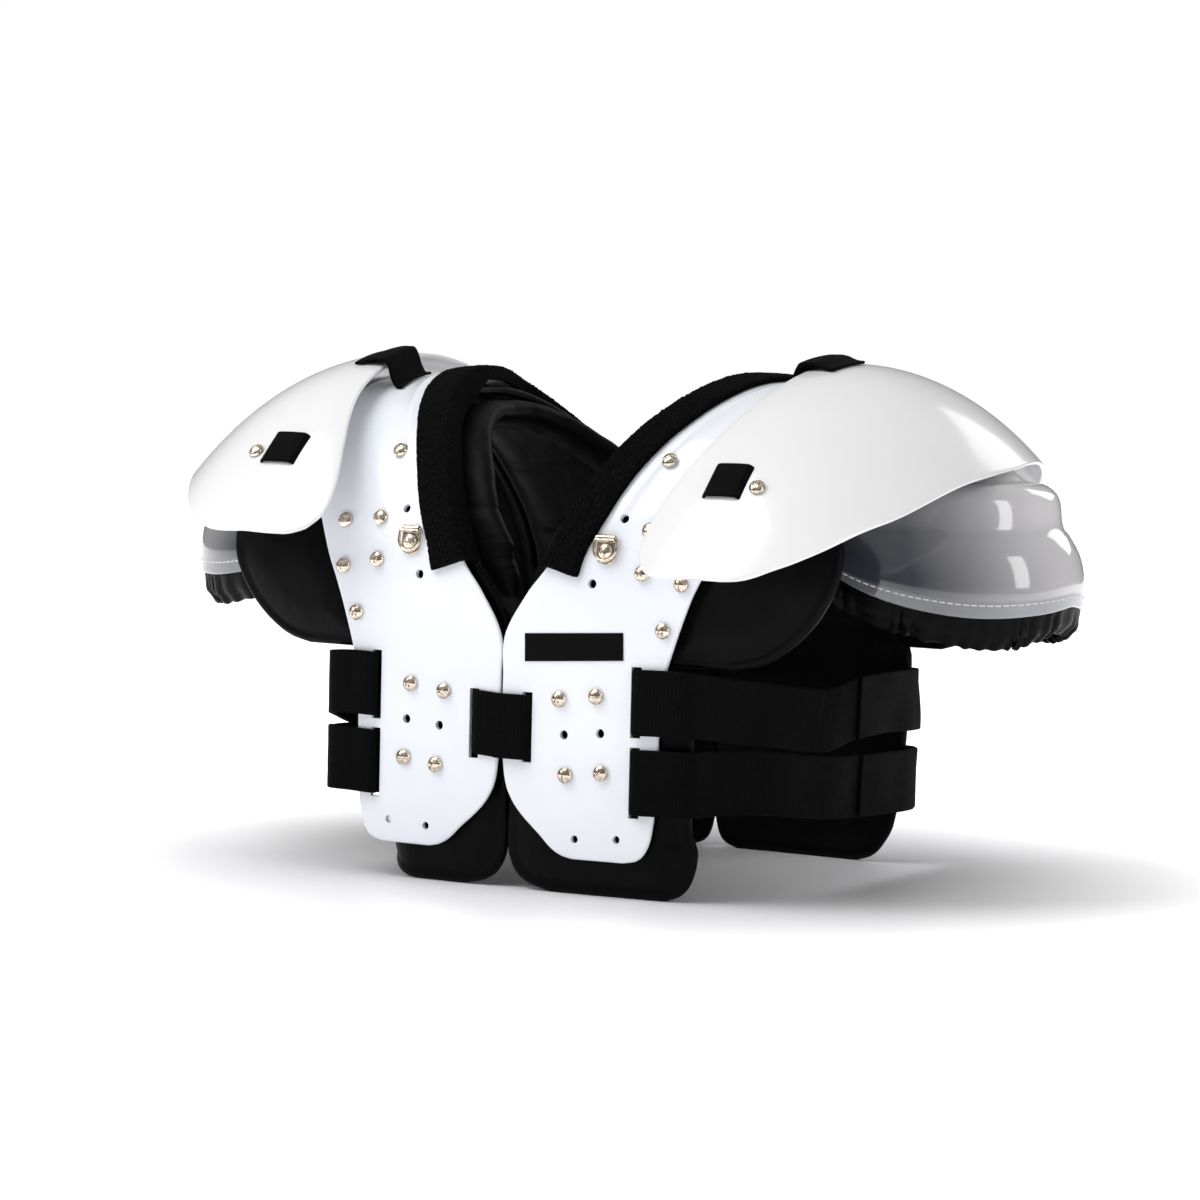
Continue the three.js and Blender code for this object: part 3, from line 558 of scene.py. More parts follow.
nylon = black_nylon("liner_nylon")
LINER_FRONT = [
    (0, 30, 100), (3, 16, 108), (10, 6, 114), (24, 0.5, 118), (60, 0.3, 119), (110, 0.3, 119),
    (126, 0.3, 118), (133, 0.3, 100), (150, 0.3, 105), (162, 3, 110), (175, 12.5, 114),
    (191, 25.5, 121), (208, 35, 128), (226, 45.5, 136), (250, 56.5, 144), (268, 66.5, 149),
    (285, 78, 155), (299, 88.5, 160),
]
LINER_BACK = [
    (299, 92, 160), (285, 82, 155), (268, 70, 150), (250, 58, 147), (232, 42.5, 143), (216, 24, 139),
    (200, 7, 136), (188, 0.3, 133.5), (170, 0.3, 131.5), (150, 0.3, 129), (142, 0.3, 130),
    (137, 0.3, 138), (126, 0.3, 140), (100, 0.3, 139), (60, 0.3, 136), (24, 0.3, 130), (10, 3, 122),
    (3, 8, 114), (0, 16, 104),
]
LINER_EDGES = by_run(LINER_FRONT, (98.5, 161), LINER_BACK)
liner_rows = joined(ticks(0, 40, 2, 3), ticks(40, SPINE - 40, 4), ticks(SPINE - 40, SPINE, 2, 3))
liner_x = strip(LINER_EDGES, liner_rows, 30, 5)
LINER_HALF = (LINER_IN - LINER_OUT) / 2
CHANNEL = 52
CURL_FROM, CURL = 62, 35


def liner_inside(e):
    """Body side of the liner: the cushion, drawn in at sewn channels across it."""
    sewn = np.exp(-(((liner_rows[:, None] + CHANNEL / 2) % CHANNEL - CHANNEL / 2) / 3.5) ** 2)
    return cushion(LINER_HALF)(e) * (1 - 0.3 * sewn * held(e / 12))


def draped(x, s, out, side):
    """Liner surface: on the right its lower front corner has curled back round the ribs
    on a 35 mm radius and lifts off the floor; on the left it has spread a little."""
    z = spine(s)[1]
    if side == "left":
        spread = 5 * held((x - 60) / 55) * held((42 - z) / 12) * (s < 60)
        return on_shell(x + spread, s, out)
    low = np.where(s < SPINE / 2, held((125 - z) / 70), 0)
    low = low * low * (3 - 2 * low)
    t = np.maximum(x - CURL_FROM, 0) / CURL
    turned = np.minimum(t, np.pi / 2)
    back = CURL * (1 - np.cos(turned) + t - turned)
    lean = np.sin(turned) * low
    x_new = x + low * (np.minimum(x, CURL_FROM) + CURL * np.sin(turned) - x)
    place = on_shell(x_new, s, out * (1 - 0.3 * lean) - drop(x) + drop(x_new))
    place[..., 1] += low * back
    place[..., 0] += lean * out * 0.6
    place[..., 2] += low * back * 0.5 * held(1 - z / 60)
    return place


for side, sign in SIDES:
    foam = sheet(
        lambda h: draped(liner_x, liner_rows[:, None], h - (LINER_IN + LINER_OUT) / 2, side),
        cushion(LINER_HALF), liner_inside,
    )
    piece(f"liner_{side}_foam", foam, nylon, [f"liner_{side}"], sign)


# Wings: flat padded panels of the same nylon behind the edge of each plate, with
# a taped binding round the outside.

WING_FRONT = [
    (136, 102.3, 146), (139, 103.2, 160), (145, 104.9, 172), (154, 107.7, 184), (166, 112, 195),
    (180, 117.6, 203), (196, 124.6, 207), (214, 132.2, 207), (232, 139.6, 202), (248, 144.8, 193),
    (262, 149, 180),
]
WING_BACK = [
    (136, 127, 160), (139, 127.5, 170), (145, 128.6, 180), (156, 130.5, 190), (172, 133.3, 198),
    (190, 135.7, 202), (210, 139.2, 202), (230, 143.8, 196), (248, 148, 187), (262, 150.6, 176),
]
WING_DEPTH, WING_HALF = 9.4, 6.05
for name, table, far in (("front", WING_FRONT, False), ("back", WING_BACK, True)):
    edges = [(run_at(z), a, b) for z, a, b in table]
    rows = ticks(edges[0][0], edges[-1][0], 2.2, 3)
    wing_x = strip(edges, rows, 26, 4)
    wing_runs = SPINE - rows if far else rows
    for side, sign in SIDES:
        panel = sheet(
            lambda h: on_shell(wing_x, wing_runs[:, None], h - WING_DEPTH), cushion(WING_HALF, 3, 7, 24),
        )
        node = f"wing_{name}_{side}"
        piece(f"{node}_panel", panel, nylon, [node], sign)


# Neck trim: a band of black loop pile folded over the neck edge of each half,
# from the chest round to the back, cut square at the ends.

GAP = 0.35


def beside_neck(edges, s, d, out):
    """Place at a distance d square off a table's neck edge at run s, out above the face."""
    slope = smooth_table(edges, s + 0.5) - smooth_table(edges, s - 0.5)
    return on_shell(smooth_table(edges, s) + d * np.hypot(1, slope), s, out)


def wrapped(rings, looped=False):
    """Skin through rings of points, and from the last one on to the first if looped."""
    n, m = rings.shape[:2]
    index = np.arange(n * m).reshape(n, m)
    index = np.hstack([index, index[:, :1]])
    if looped:
        index = np.vstack([index, index[:1]])
    return rings.reshape(-1, 3), quads(index)


def swept(rings):
    """Closed skin through rings of points, drawn together to a point at either end."""
    ends = [np.repeat(r.mean(0)[None], len(r), 0) for r in (rings[0], rings[-1])]
    return wrapped(np.concatenate([ends[:1], rings, ends[1:]]))


def sealed(made):
    """Merge the points that meet, as at the end of a swept skin."""
    work = bmesh.new()
    work.from_mesh(made.data)
    bmesh.ops.remove_doubles(work, verts=work.verts, dist=1e-7)
    work.to_mesh(made.data)
    work.free()
    return made


def loop_pile():
    """Loop pile: a matt black nap with grey-brown loop tips in clumps."""
    finish = Finish(
        "pile", Sheen_Weight=0.008, Sheen_Roughness=0.6, Roughness=0.95, Specular_IOR_Level=0.03,
    )
    loops = finish.node("TexVoronoi", inputs={"Vector": finish.place(), "Scale": 950})
    clumps = finish.noise(300, 3)
    nap_height = loops + clumps * 0.6
    finish.feed(
        Base_Color=finish.ramp(nap_height, (0.009, 0.0075, 0.0075), (0.001, 0.001, 0.001), 0.3, 0.85),
        Normal=finish.bump(loops, 0.0009, 1.0, finish.bump(clumps, 0.0016, 0.8)),
    )
    return finish


pile = loop_pile()
TRIM_SECTION = np.array([
    (-0.7, 0.35), (10, 0.35), (19, 0.35), (19.6, 1.1), (19.4, 2.2), (18.3, 3.0), (15, 3.3), (8, 3.4),
    (2, 3.5), (-1.2, 3.3), (-3.0, 2.3), (-3.5, 0.3), (-3.5, -8), (-3.4, -16.6), (-2.7, -17.7),
    (-1.2, -17.9), (-0.7, -17), (-0.7, -8),
])
corner_places = np.arange(len(TRIM_SECTION) + 1)
section_at = np.linspace(0, len(TRIM_SECTION), 73)[:-1]
closed = np.vstack([TRIM_SECTION, TRIM_SECTION[:1]])
trim_d, trim_h = (np.interp(section_at, corner_places, closed[:, k]) for k in (0, 1))
trim_rows = ticks(run_at(191.6), SPINE - run_at(216), 1.2)
nap = np.random.default_rng(3)
for side, sign in SIDES:
    s = trim_rows[:, None]
    slant = held(1 - (s - trim_rows[0]) / 12)
    ragged = np.interp(section_at, np.arange(0, 76, 4), nap.uniform(-1.3, 1.0, 19))
    lip = 1 - 0.69 * held((s - SPRING - QUARTER + 30) / 30)
    fuzz = nap.normal(0, 1, (len(trim_rows), len(trim_d)))
    outer = trim_h > 0.3
    h = np.where(outer, trim_h + 0.22 * np.abs(fuzz) * (trim_h > 2.5), trim_h * lip)
    d = trim_d + 0.22 * fuzz * outer * (trim_h > 1.5)
    rings = beside_neck(ARCH_EDGES, s - slant * (0.35 * np.maximum(trim_d, 0) + ragged), d, h)
    sealed(piece(f"neck_trim_{side}_pile", swept(rings), pile, [f"neck_trim_{side}"], sign))


# Neck rolls: soft tubes of smooth nylon inside the neck opening, sewn to the
# liner, gathered where they run out in the V of the chest.

neck_nylon = black_nylon("neck_nylon", 0.5)
ROLL_IN, ROLL_UNDER, ROLL_WIDE, ROLL_HIGH = -6.5, 7.6, 14.3, 7.2
roll_rows = ticks(run_at(170), SPINE - SPRING - QUARTER / 10, 1.6)
around = circle(48)
folds = np.random.default_rng(5)


def fuller(t, power=0.8):
    """A cosine or sine raised to a power with its sign kept, for a squarer round."""
    return np.sign(t) * np.abs(t) ** power


for side, sign in SIDES:
    s = roll_rows[:, None]
    reach = np.minimum(1, (smooth_table(LINER_EDGES, s) - 1) / 33)
    near_v = np.exp(-(s - roll_rows[0]) / 24)
    gathers = np.sin(s * 1.15 + 1.6 * np.sin(s * 0.31) + 2 * np.cos(around) + sign)
    wrinkles = sum(
        depth * np.sin(s * 2 * np.pi / wave + turns * around + phase) for wave, turns, depth, phase in
        zip((19, 31, 47), (1, -2, 1), (0.4, 0.5, 0.5), folds.uniform(0, 6, 3))
    )
    gathers = gathers * (0.4 + 0.6 * np.sin(s * 0.37 + 3 * sign) ** 2)
    fold = np.exp(-(((s - run_at(232)) / 3 - np.sin(around)) ** 2))
    soft = 1 - near_v * 0.07 * (1 + gathers) - 0.022 * (1 + wrinkles) - 0.05 * fold
    d = ROLL_IN + ROLL_WIDE * fuller(np.cos(around)) * soft
    out = -LINER_IN - ROLL_UNDER - ROLL_HIGH * fuller(np.sin(around)) * soft
    rings = beside_neck(LINER_EDGES, s, np.where(d < 0, d * reach, d), out)
    rings[..., 0] = np.maximum(rings[..., 0], 0.4)
    node = f"neck_roll_{side}"
    roll = piece(f"{node}_tube", swept(rings), neck_nylon, [node], sign)
    sealed(roll)


# Shoulder flaps: domed sheets of white plastic over each shoulder, cut to a long
# leaf, held by webbing at the top and tabs near their tips.

FLAP_X, FLAP_AX, FLAP_AY, FLAP_AZ = 155, 184, 245, 312
FLAP_SLIDE = {"left": 0, "right": 9}
FLAP_OUTLINE = [
    (-193, 149, 161), (-192.7, 143, 166), (-192, 137, 172), (-190, 127.5, 180.5), (-187, 121, 187.5),
    (-183, 115.5, 194), (-173, 109.5, 207), (-159, 111, 220), (-141, 118.5, 232), (-119, 128.5, 244),
    (-95, 136.5, 252), (-65, 141.5, 258), (-33, 144, 262), (0, 145, 262), (33, 145, 257),
    (64, 141, 249), (93, 134, 239), (119, 126, 227), (141, 120, 214), (160, 118, 202),
    (175, 124, 190), (179, 128, 185), (182, 134, 179), (183.5, 141.5, 171.5), (184, 150, 163),
]
flap_plastic = moulded("flap_plastic", (0.76, 0.755, 0.76), (0.80, 0.795, 0.80), 0.2)


def flap_height(x, y):
    """Height of the flap's ellipsoid over the floor."""
    return FLAP_AZ * np.sqrt(1 - ((x - FLAP_X) / FLAP_AX) ** 2 - (y / FLAP_AY) ** 2)


def on_flap(x, y, out):
    """Point above the flap's ellipsoid along its normal."""
    z = flap_height(x, y)
    n = unit(points_at((x - FLAP_X) / FLAP_AX**2, y / FLAP_AY**2, z / FLAP_AZ**2))
    return points_at(x, y, z) + n * np.asarray(out)[..., None]


def from_axes(axes, across, along, out):
    """Points off an origin by distances along its three directions."""
    o, e, u, n = axes
    at = points_at(across, along, out)
    return o + at[..., :1] * e + at[..., 1:2] * u + at[..., 2:] * n


def flap_axes(x, y):
    """Origin on the flap, and the directions off centre, along it and outward."""
    o = on_flap(x, y, 0.0)
    n = on_flap(x, y, 1.0) - o
    e = unit(np.array([1.0, 0, 0]) - n * n[0])
    return o, e, np.cross(n, e), n


flap_rows = joined(ticks(-193, -170, 1.5, 1.5), ticks(-170, 160, 4), ticks(160, 184, 1.5, 1.5))
flap_x = strip(FLAP_OUTLINE, flap_rows, 36, 1.5)
for side, sign in SIDES:
    y = flap_rows[:, None] + FLAP_SLIDE[side]
    dome = sheet(lambda h: on_flap(flap_x, y, h - SHELL / 2), rounded(SHELL / 2, 1.2))
    piece(f"epaulet_{side}_dome", dome, flap_plastic, [f"epaulet_{side}"], sign)


# Shoulder cups: clear plastic with painted shade and light over the point of the shoulder, with a
# rounded crease above the wall, sewn through near the rim with white thread.

CUP_X, CUP_AX, CUP_AY, CUP_POWER = 161.6, 138, 78, 2.4
CUP_WALL, CREASE, RIM = 2.5, 219, 170
CUP_PROFILE = [
    (1, 170), (1, 188), (0.975, 203), (0.925, 215), (0.9, 219), (0.875, 237), (0.815, 244),
    (0.725, 246.5), (0.55, 268), (0.3, 291), (0.05, 298),
]
CUP_RIM = [(0, 175), (20, 171), (45, 169), (63, 173), (76, 181), (86, 194), (90, 204)]


def profile_table(profile):
    """Profile rows led by the length along the profile, taking the plan radius as 100 mm."""
    rows = np.array(profile, float)
    steps = np.hypot(np.diff(rows[:, 0]) * 100, np.diff(rows[:, 1]))
    return np.column_stack([np.concatenate([[0], np.cumsum(steps)]), rows])


def on_cup(angle, share, z):
    """Point of the cup's rounded plan at an angle off sideways and a share of its radius."""
    x = CUP_X + CUP_AX * share * fuller(np.maximum(np.cos(angle), 0), 2 / CUP_POWER)
    y = CUP_AY * share * fuller(np.sin(angle), 2 / CUP_POWER)
    return points_at(x, y, z)


def cup_rim(angle):
    """Height of the cup's rim by angle off sideways."""
    return smooth_table(CUP_RIM, np.abs(np.degrees(angle)))


def cup_face(angle, t, table):
    """Outer face by angle and length up the profile; under the crease it leans to the rim's line."""
    share, height = smooth_table(table, t), smooth_table(table, t, 2)
    up = np.maximum((height - RIM) / (CREASE - RIM), 0)
    rim = cup_rim(angle)
    z = np.where(height > CREASE, height, up * (CREASE - rim) + rim)
    return on_cup(angle, share, z + np.minimum(height - RIM, 0))


def offset(middle):
    """Surface at a height h over a grid of points, along normals taken from the grid."""
    normal = np.cross(np.gradient(middle, axis=0), np.gradient(middle, axis=1))
    normal /= np.maximum(np.linalg.norm(normal, axis=-1, keepdims=True), 1e-9)
    return lambda h: middle + normal * np.broadcast_to(h, middle.shape[:2])[..., None]


cup_table = profile_table(CUP_PROFILE)
cup_lengths = ticks(0, cup_table[-1, 0], 3, 1.5)


def half_round(near, inner):
    """Angles from -90 to 90 degrees: places near both ends, and even ones between."""
    return np.radians(np.concatenate([-90 + np.array(near), inner, 90 - np.array(near[::-1])]))


cup_angles = half_round([0, 0.4, 1.2, 2.6, 4.5], np.linspace(-84, 84, 57))


def clear_plastic():
    """Clear plastic over a dark pad, with painted shade and light: dark by the front, where the flap's
    shadow is painted in, paler round the side where painted light gets behind it, darker round the back, a
    bare grey strip by the rim with the same painted shade at the front, and paler up high."""
    finish = Finish("cup_plastic", Coat_Weight=1.0, Coat_Roughness=0.03, IOR=1.5, Specular_IOR_Level=0.6)
    round_cup, height = finish.cloth_ways()
    up = finish.between(height, 0.02, 0.12)
    # Painted shade and light: dark at the front, where the flap's shadow is painted on the cup, rising to
    # painted light round the side; darker again round the back.
    front = finish.between(round_cup, -0.125, 0.03)
    behind = finish.between(round_cup, 0.1, 0.18, 1.0, 0.55)
    bare = finish.between(height, 0.0105, 0.0085)
    # light mixes that painted light and shade with a paler tone up high and a little random cloud; the
    # ramp's dark end is the pad seen through the plastic.
    light = front * behind * 0.8 + up * 0.22 + finish.noise(16, 2) * 0.06
    body = finish.ramp(light, (0.035, 0.04, 0.05), (0.82, 0.8, 0.81), 0.05, 0.95)
    # The bare strip by the rim gets the same painted shade at the front.
    rim = finish.ramp(front, (0.12, 0.125, 0.14), (0.36, 0.37, 0.4), 0.1, 0.9)
    finish.feed(
        Base_Color=finish.node("Mix", {"data_type": "RGBA"}, {0: bare, 6: body, 7: rim}, output=2),
        Roughness=finish.noise(50, 3) * 0.1 + 0.08,
        Normal=finish.bump(finish.noise(12, 1), 0.0015, 0.3),
    )
    return finish


cup_plastic = clear_plastic()
thread = Finish("thread", Base_Color=(0.72, 0.72, 0.72, 1), Roughness=0.7)
thread.feed(Normal=thread.bump(thread.noise(1800, 2), 0.0002, 0.6))
STITCH, STITCH_PITCH, THREAD, SEAM = 3.4, 4.6, 0.38, 7.5
outer = cup_face(cup_angles, cup_lengths[:, None], cup_table)
skin = offset(outer)
inward = -1 if skin(1)[5, 20, 0] > outer[5, 20, 0] else 1


def stitches():
    """Short bowed lengths of thread along the seam, as rings of points for each stitch."""
    angle = np.radians(np.linspace(-88, 88, 1600))
    seam = cup_face(angle, SEAM, cup_table)
    beside = np.array([[SEAM - 0.5], [SEAM], [SEAM + 0.5]])
    normal = (offset(cup_face(angle, beside, cup_table))(1)[1] - seam) * -inward
    far = travelled(seam)
    t = np.linspace(0, 1, 7)
    at = np.arange(3, far[-1] - 5, STITCH_PITCH)[:, None] + STITCH * t
    path, out = (np.stack([np.interp(at, far, v[:, k]) for k in range(3)], -1) for v in (seam, normal))
    path = path + out * (0.55 * np.sin(np.pi * t) - 0.25)[:, None]
    a = circle(6)
    up = np.array([0, 0, 1.0])
    return path[:, :, None] + THREAD * (np.cos(a)[:, None] * out[:, :, None] + np.sin(a)[:, None] * up)


def flat_inside(skin):
    """The same skin, kept outward of the plane where the cup ends."""
    skin[0][:, 0] = np.maximum(skin[0][:, 0], CUP_X)
    return skin


threads = stitches()
each = threads[0, ..., 0].size
thread_faces = np.concatenate([wrapped(ring)[1] + k * each for k, ring in enumerate(threads)])
for side, sign in SIDES:
    wall = sheet(lambda h: skin(inward * (CUP_WALL / 2 - h)), rounded(CUP_WALL / 2, 1))
    piece(
        f"cup_{side}_shell", flat_inside(wall), cup_plastic, [f"cup_{side}"], sign,
        grid_map(cup_angles * 110, cup_lengths[:, None]),
    )
    seam = (threads.reshape(-1, 3), thread_faces)
    piece(f"cup_{side}_stitching", seam, thread, (), sign)


# Cup pads: gathered nylon cushions that line the cups and hang below their rims,
# puckered along the lower edge.

PAD_PROFILE = [(0.93, 150), (0.975, 157), (0.985, 165)] + CUP_PROFILE[:-1]
pad_table = profile_table(PAD_PROFILE)
PAD_WALL, TUCKS = 8, 48
pad_lengths = ticks(0, pad_table[-1, 0], 3, 3)
pad_angles = half_round([0, 0.8, 2, 3.5], np.linspace(-85, 85, 260))
gathered = black_nylon("gathered_nylon", 0.4)
gathering = np.random.default_rng(11)
for side, sign in SIDES:
    base = cup_face(pad_angles, pad_lengths[:, None], pad_table)
    below = held((24 - pad_lengths) / 12)[:, None]
    deg = np.degrees(pad_angles)
    tucks = np.cumsum(gathering.uniform(2.2, 9.5, TUCKS)) - 100
    size = np.interp(deg, tucks, gathering.uniform(0.15, 1.0, TUCKS))
    ripple = np.cos(np.interp(deg, tucks, np.arange(TUCKS)) * 2 * np.pi) * size
    depth = (CUP_WALL + GAP + PAD_WALL / 2) * (1 - below) + (PAD_WALL / 2 + 0.8) * below
    depth = depth + below * (1 + 0.12 * size) * 1.3 * ripple
    base[..., 2] += below**2 * (1.6 * np.sin(deg * 0.09 + 1) + 0.9 * ripple)
    middle = offset(base)(inward * depth)
    middle[..., 0] = np.maximum(middle[..., 0], CUP_X)
    cover = offset(middle)
    foam = flat_inside(sheet(lambda h: cover(-inward * h), cushion(PAD_WALL / 2, 3, 6, 14)))
    node = f"cup_pad_{side}"
    piece(f"{node}_cushion", foam, gathered, [node], sign)


# Webbing: woven black nylon, 1.9 mm thick. Each flap has a loop at the top from
# the arch over its inner edge, and a tab through two slots near either tip.

WEBBING = 1.9


def woven():
    """Woven webbing: ribs across the strap, yarns along it, dull with paler high spots."""
    finish = Finish("webbing", Specular_IOR_Level=0.04)
    along, across = finish.cloth_ways()
    ribs = finish.sine(along * 2900.0)
    yarns = finish.sine(across * 5200.0)
    weave = ribs * 0.35 + yarns * 0.25 + 0.5
    wear = finish.noise(220, 3)
    dark, pale = (0.0008, 0.0008, 0.0008), (0.0032, 0.0032, 0.0034)
    finish.feed(
        Base_Color=finish.ramp(weave * 0.5 + wear * 0.5, dark, pale, 0.25, 0.8),
        Roughness=wear * 0.2 + 0.6,
        Normal=finish.bump(weave, 0.00018, 0.5, finish.bump(finish.noise(40, 2), 0.0015, 0.3)),
    )
    return finish


webbing = woven()


def strap(name, middle, nodes=(), sign=1):
    """Band of webbing about a grid of points, rows along it, mapped by its lengths in metres."""
    made = piece(
        name, sheet(offset(middle), rounded(WEBBING / 2, 0.7)), webbing, nodes, sign,
        grid_map(travelled(middle[:, 0])[:, None], travelled(middle[0])[None]),
    )


def threaded(path, steps):
    """Smooth line through path points, led by the chord length between them."""
    path = np.array(path, float)
    far = travelled(path)
    at = joined(np.linspace(0, far[-1], steps), CUT_EDGE, far[-1] - CUT_EDGE)
    table = np.column_stack([far, path])
    return np.stack([smooth_table(table, at, k + 1) for k in range(path.shape[1])], -1)


CUT_EDGE = np.array([0, 0.1, 0.35, 0.7])
width_places = np.concatenate([
    CUT_EDGE, np.linspace(2, STRAP_WIDTH - 2, 15), STRAP_WIDTH - CUT_EDGE[::-1],
]) - STRAP_WIDTH / 2
LOOP = [
    (-15, 0, 1.4), (-11, 0, 1.7), (-7.5, 0.2, 4.2), (-5, 0.65, 5.2), (-2.5, 0.97, 5.0), (1, 1, 4.7),
    (5, 1, 4.5), (9, 1, 3.7), (12.5, 1, 2.4), (15.5, 1, 1.5), (20, 1, 1.4),
]
LOOP_MIDDLE = {"left": -25, "right": -38}
TAB_X, TAB_ENDS, TAB_WIDTH = 153.5, {"front": -152, "back": 143}, 25
TAB_PATH = [(8.2, 1.45), (10.4, 0.5), (11.3, -1.6), (11.7, -4.6)]
for side, sign in SIDES:
    slide = FLAP_SLIDE[side]
    line = threaded(LOOP, 60)
    y = LOOP_MIDDLE[side] + width_places[None]
    x = smooth_table(FLAP_OUTLINE, y - slide) + line[:, 0][:, None]
    over = np.maximum(np.abs(y) - FLAT, 0)
    shell_z = SPRING + np.sqrt((ARC - drop(x)) ** 2 - over**2)
    z = shell_z + (flap_height(x, y) - shell_z) * line[:, 1][:, None] + line[:, 2][:, None]
    middle = points_at(x, y, z)
    strap(f"epaulet_strap_{side}_webbing", middle, [f"epaulet_strap_{side}"], sign)
    for end, y_tab in TAB_ENDS.items():
        line = threaded([(-a, h) for a, h in TAB_PATH[::-1]] + TAB_PATH, 40)
        tab_places = width_places * TAB_WIDTH / STRAP_WIDTH
        middle = from_axes(flap_axes(TAB_X, y_tab + slide), line[:, :1], tab_places, line[:, 1:])
        strap(f"epaulet_tab_{end}_{side}_webbing", middle, [f"epaulet_tab_{end}_{side}"], sign)


# Body straps: four webbing straps that pass out of slots in the chest plates,
# round the ribs and into the back plates, doubled where their ends are sewn or
# folded back, and two short ones that tie the halves.

STRAP_LIFT, STRAP_SUNK = 1.7, 4.45


def on_plate(x, out, side):
    """Point of a plate's section off centre by x, out above its face, front or back by side."""
    return x, side * (HALF_DEPTH - drop(x) + out)


def through(slot, side):
    """Way out of a slot: from behind the plate, through it and down on its face."""
    places = [(-13, -STRAP_SUNK), (-3, -STRAP_SUNK), (-0.7, -3.6), (0, -1.5), (0.7, 0.6), (3.2, STRAP_LIFT)]
    return [on_plate(slot + a, out, side) for a, out in places]


RIB_PATH = through(FRONT_SLOT, -1) + [
    on_plate(104, STRAP_LIFT, -1), on_plate(118, STRAP_LIFT, -1), (122.5, -132), (124.5, -126),
    (127, -112), (133, -85), (139, -50), (144.5, 10), (145, 60), (144, 100), (142, 118), (139.5, 130),
    on_plate(134.5, STRAP_LIFT, 1), on_plate(126, STRAP_LIFT, 1),
] + through(BACK_SLOT, 1)[::-1]
rib_line = threaded(RIB_PATH, 400)
rib_far = travelled(rib_line)
RIB_LENGTH = rib_far[-1]
DOUBLE, DOUBLE_START = WEBBING + 0.12, 16.5
BELT_FOLDS = {"upper": (-14, 33, 126, 7), "lower": (-125, 40, 121, -3)}
BELT_HANG = {
    "upper": [(0, 115), (0.14, 115), (0.3, 108), (0.5, 99.5), (0.63, 105.5), (0.85, 104), (1, 103)],
    "lower": [(0, 68.5), (0.14, 69.5), (0.3, 67), (0.6, 57), (0.85, 54.5), (1, 55)],
}
RIGHT_UPPER_HANG = [(0, 115), (0.13, 115), (0.22, 107), (0.34, 99), (0.6, 99), (0.85, 103), (1, 103)]


def length_at(y):
    """Length along the rib line where it comes to a depth on its way round the side."""
    side_part = (rib_line[:, 0] > 120) & (np.abs(rib_line[:, 1]) < 134)
    return np.interp(y, rib_line[side_part, 1], rib_far[side_part])


def belt(start, end, lift, slant, hang, wave):
    """Grid of a strap on the rib line from one length to another, lifted outward, its
    far end askew by slant; hang is a table of its height by share of the line."""
    length = end - start
    rows = joined(CUT_EDGE, np.arange(2, length - 1, 2.2), length - CUT_EDGE)
    t = start + rows[:, None] * (1 + slant * width_places / (STRAP_WIDTH / 2) / length)
    x, y = (np.interp(t, rib_far, rib_line[:, k]) for k in (0, 1))
    ahead = [np.interp(t, rib_far, np.gradient(rib_line[:, k], rib_far)) for k in (0, 1)]
    size = np.hypot(*ahead)
    share = t / RIB_LENGTH
    free = held((share - 0.16) / 0.1) * held((0.84 - share) / 0.1)
    loose = 0.55 * np.sin(t / 9.5 + wave) * np.cos(width_places / 15 + wave)
    loose = free * (loose + 0.8 * np.sin(t / 31 + wave) + 0.05 * width_places * np.sin(t / 43 + wave))
    out = lift + loose + 0.25 * np.sin(t * 1.5) * np.exp(-((t - 34) / 9) ** 2)
    x, y = x + out * ahead[1] / size, y - out * ahead[0] / size
    z = smooth_table(hang, share) + width_places + free * 0.5 * np.sin(t / 23 + wave)
    return points_at(x, y, z)


for side, sign in SIDES:
    for name in SIDE_STRAPS:
        hang = RIGHT_UPPER_HANG if (side, name) == ("right", "upper") else BELT_HANG[name]
        wave = {"upper": 0.4, "lower": 2.1}[name] + sign
        strap(
            f"side_strap_{name}_{side}_webbing", belt(0, RIB_LENGTH, 0, 0, hang, wave),
            [f"side_strap_{name}_{side}"], sign,
        )
        over, fold, turned, slant = BELT_FOLDS[name]
        layer = belt(DOUBLE_START, length_at(over), DOUBLE, slant, hang, wave)
        strap(f"side_strap_{name}_{side}_front_fold", layer, (), sign)
        layer = belt(length_at(fold), length_at(turned), DOUBLE, -slant, hang, wave)
        strap(f"side_strap_{name}_{side}_back_fold", layer, (), sign)

CROSS_HALF = [
    (15, STRAP_LIFT), (CHEST_SLOT - 0.7, 0.6), (CHEST_SLOT, -1.5), (CHEST_SLOT + 0.7, -3.6),
    (21.2, -STRAP_SUNK), (29, -STRAP_SUNK),
]
cross_path = [(-x, h) for x, h in CROSS_HALF[::-1]] + CROSS_HALF
for name, turn_side in (("chest", -1), ("back", 1)):
    for layer, lift, whole in (("webbing", 0, True), ("fold", DOUBLE, False)):
        path = cross_path if whole else [(-2.2, STRAP_LIFT), (6, STRAP_LIFT)] + CROSS_HALF[:3]
        cross_line = threaded([(x, h - drop(x)) for x, h in path], 80 if whole else 40)
        ahead = unit(np.gradient(cross_line, axis=0))
        x = (cross_line[:, 0] - lift * ahead[:, 1])[:, None]
        h = (cross_line[:, 1] + lift * ahead[:, 0])[:, None]
        z = CROSS[name] + width_places[None] - 0.07 * x * (x < 0)
        middle = points_at(x, turn_side * (HALF_DEPTH + h), z)
        strap(f"{name}_strap_{layer}", middle, [f"{name}_strap"] if whole else ())


# Screws: nickel-plated posts with domed, cross-slotted heads through the arches,
# flaps and ring keepers.

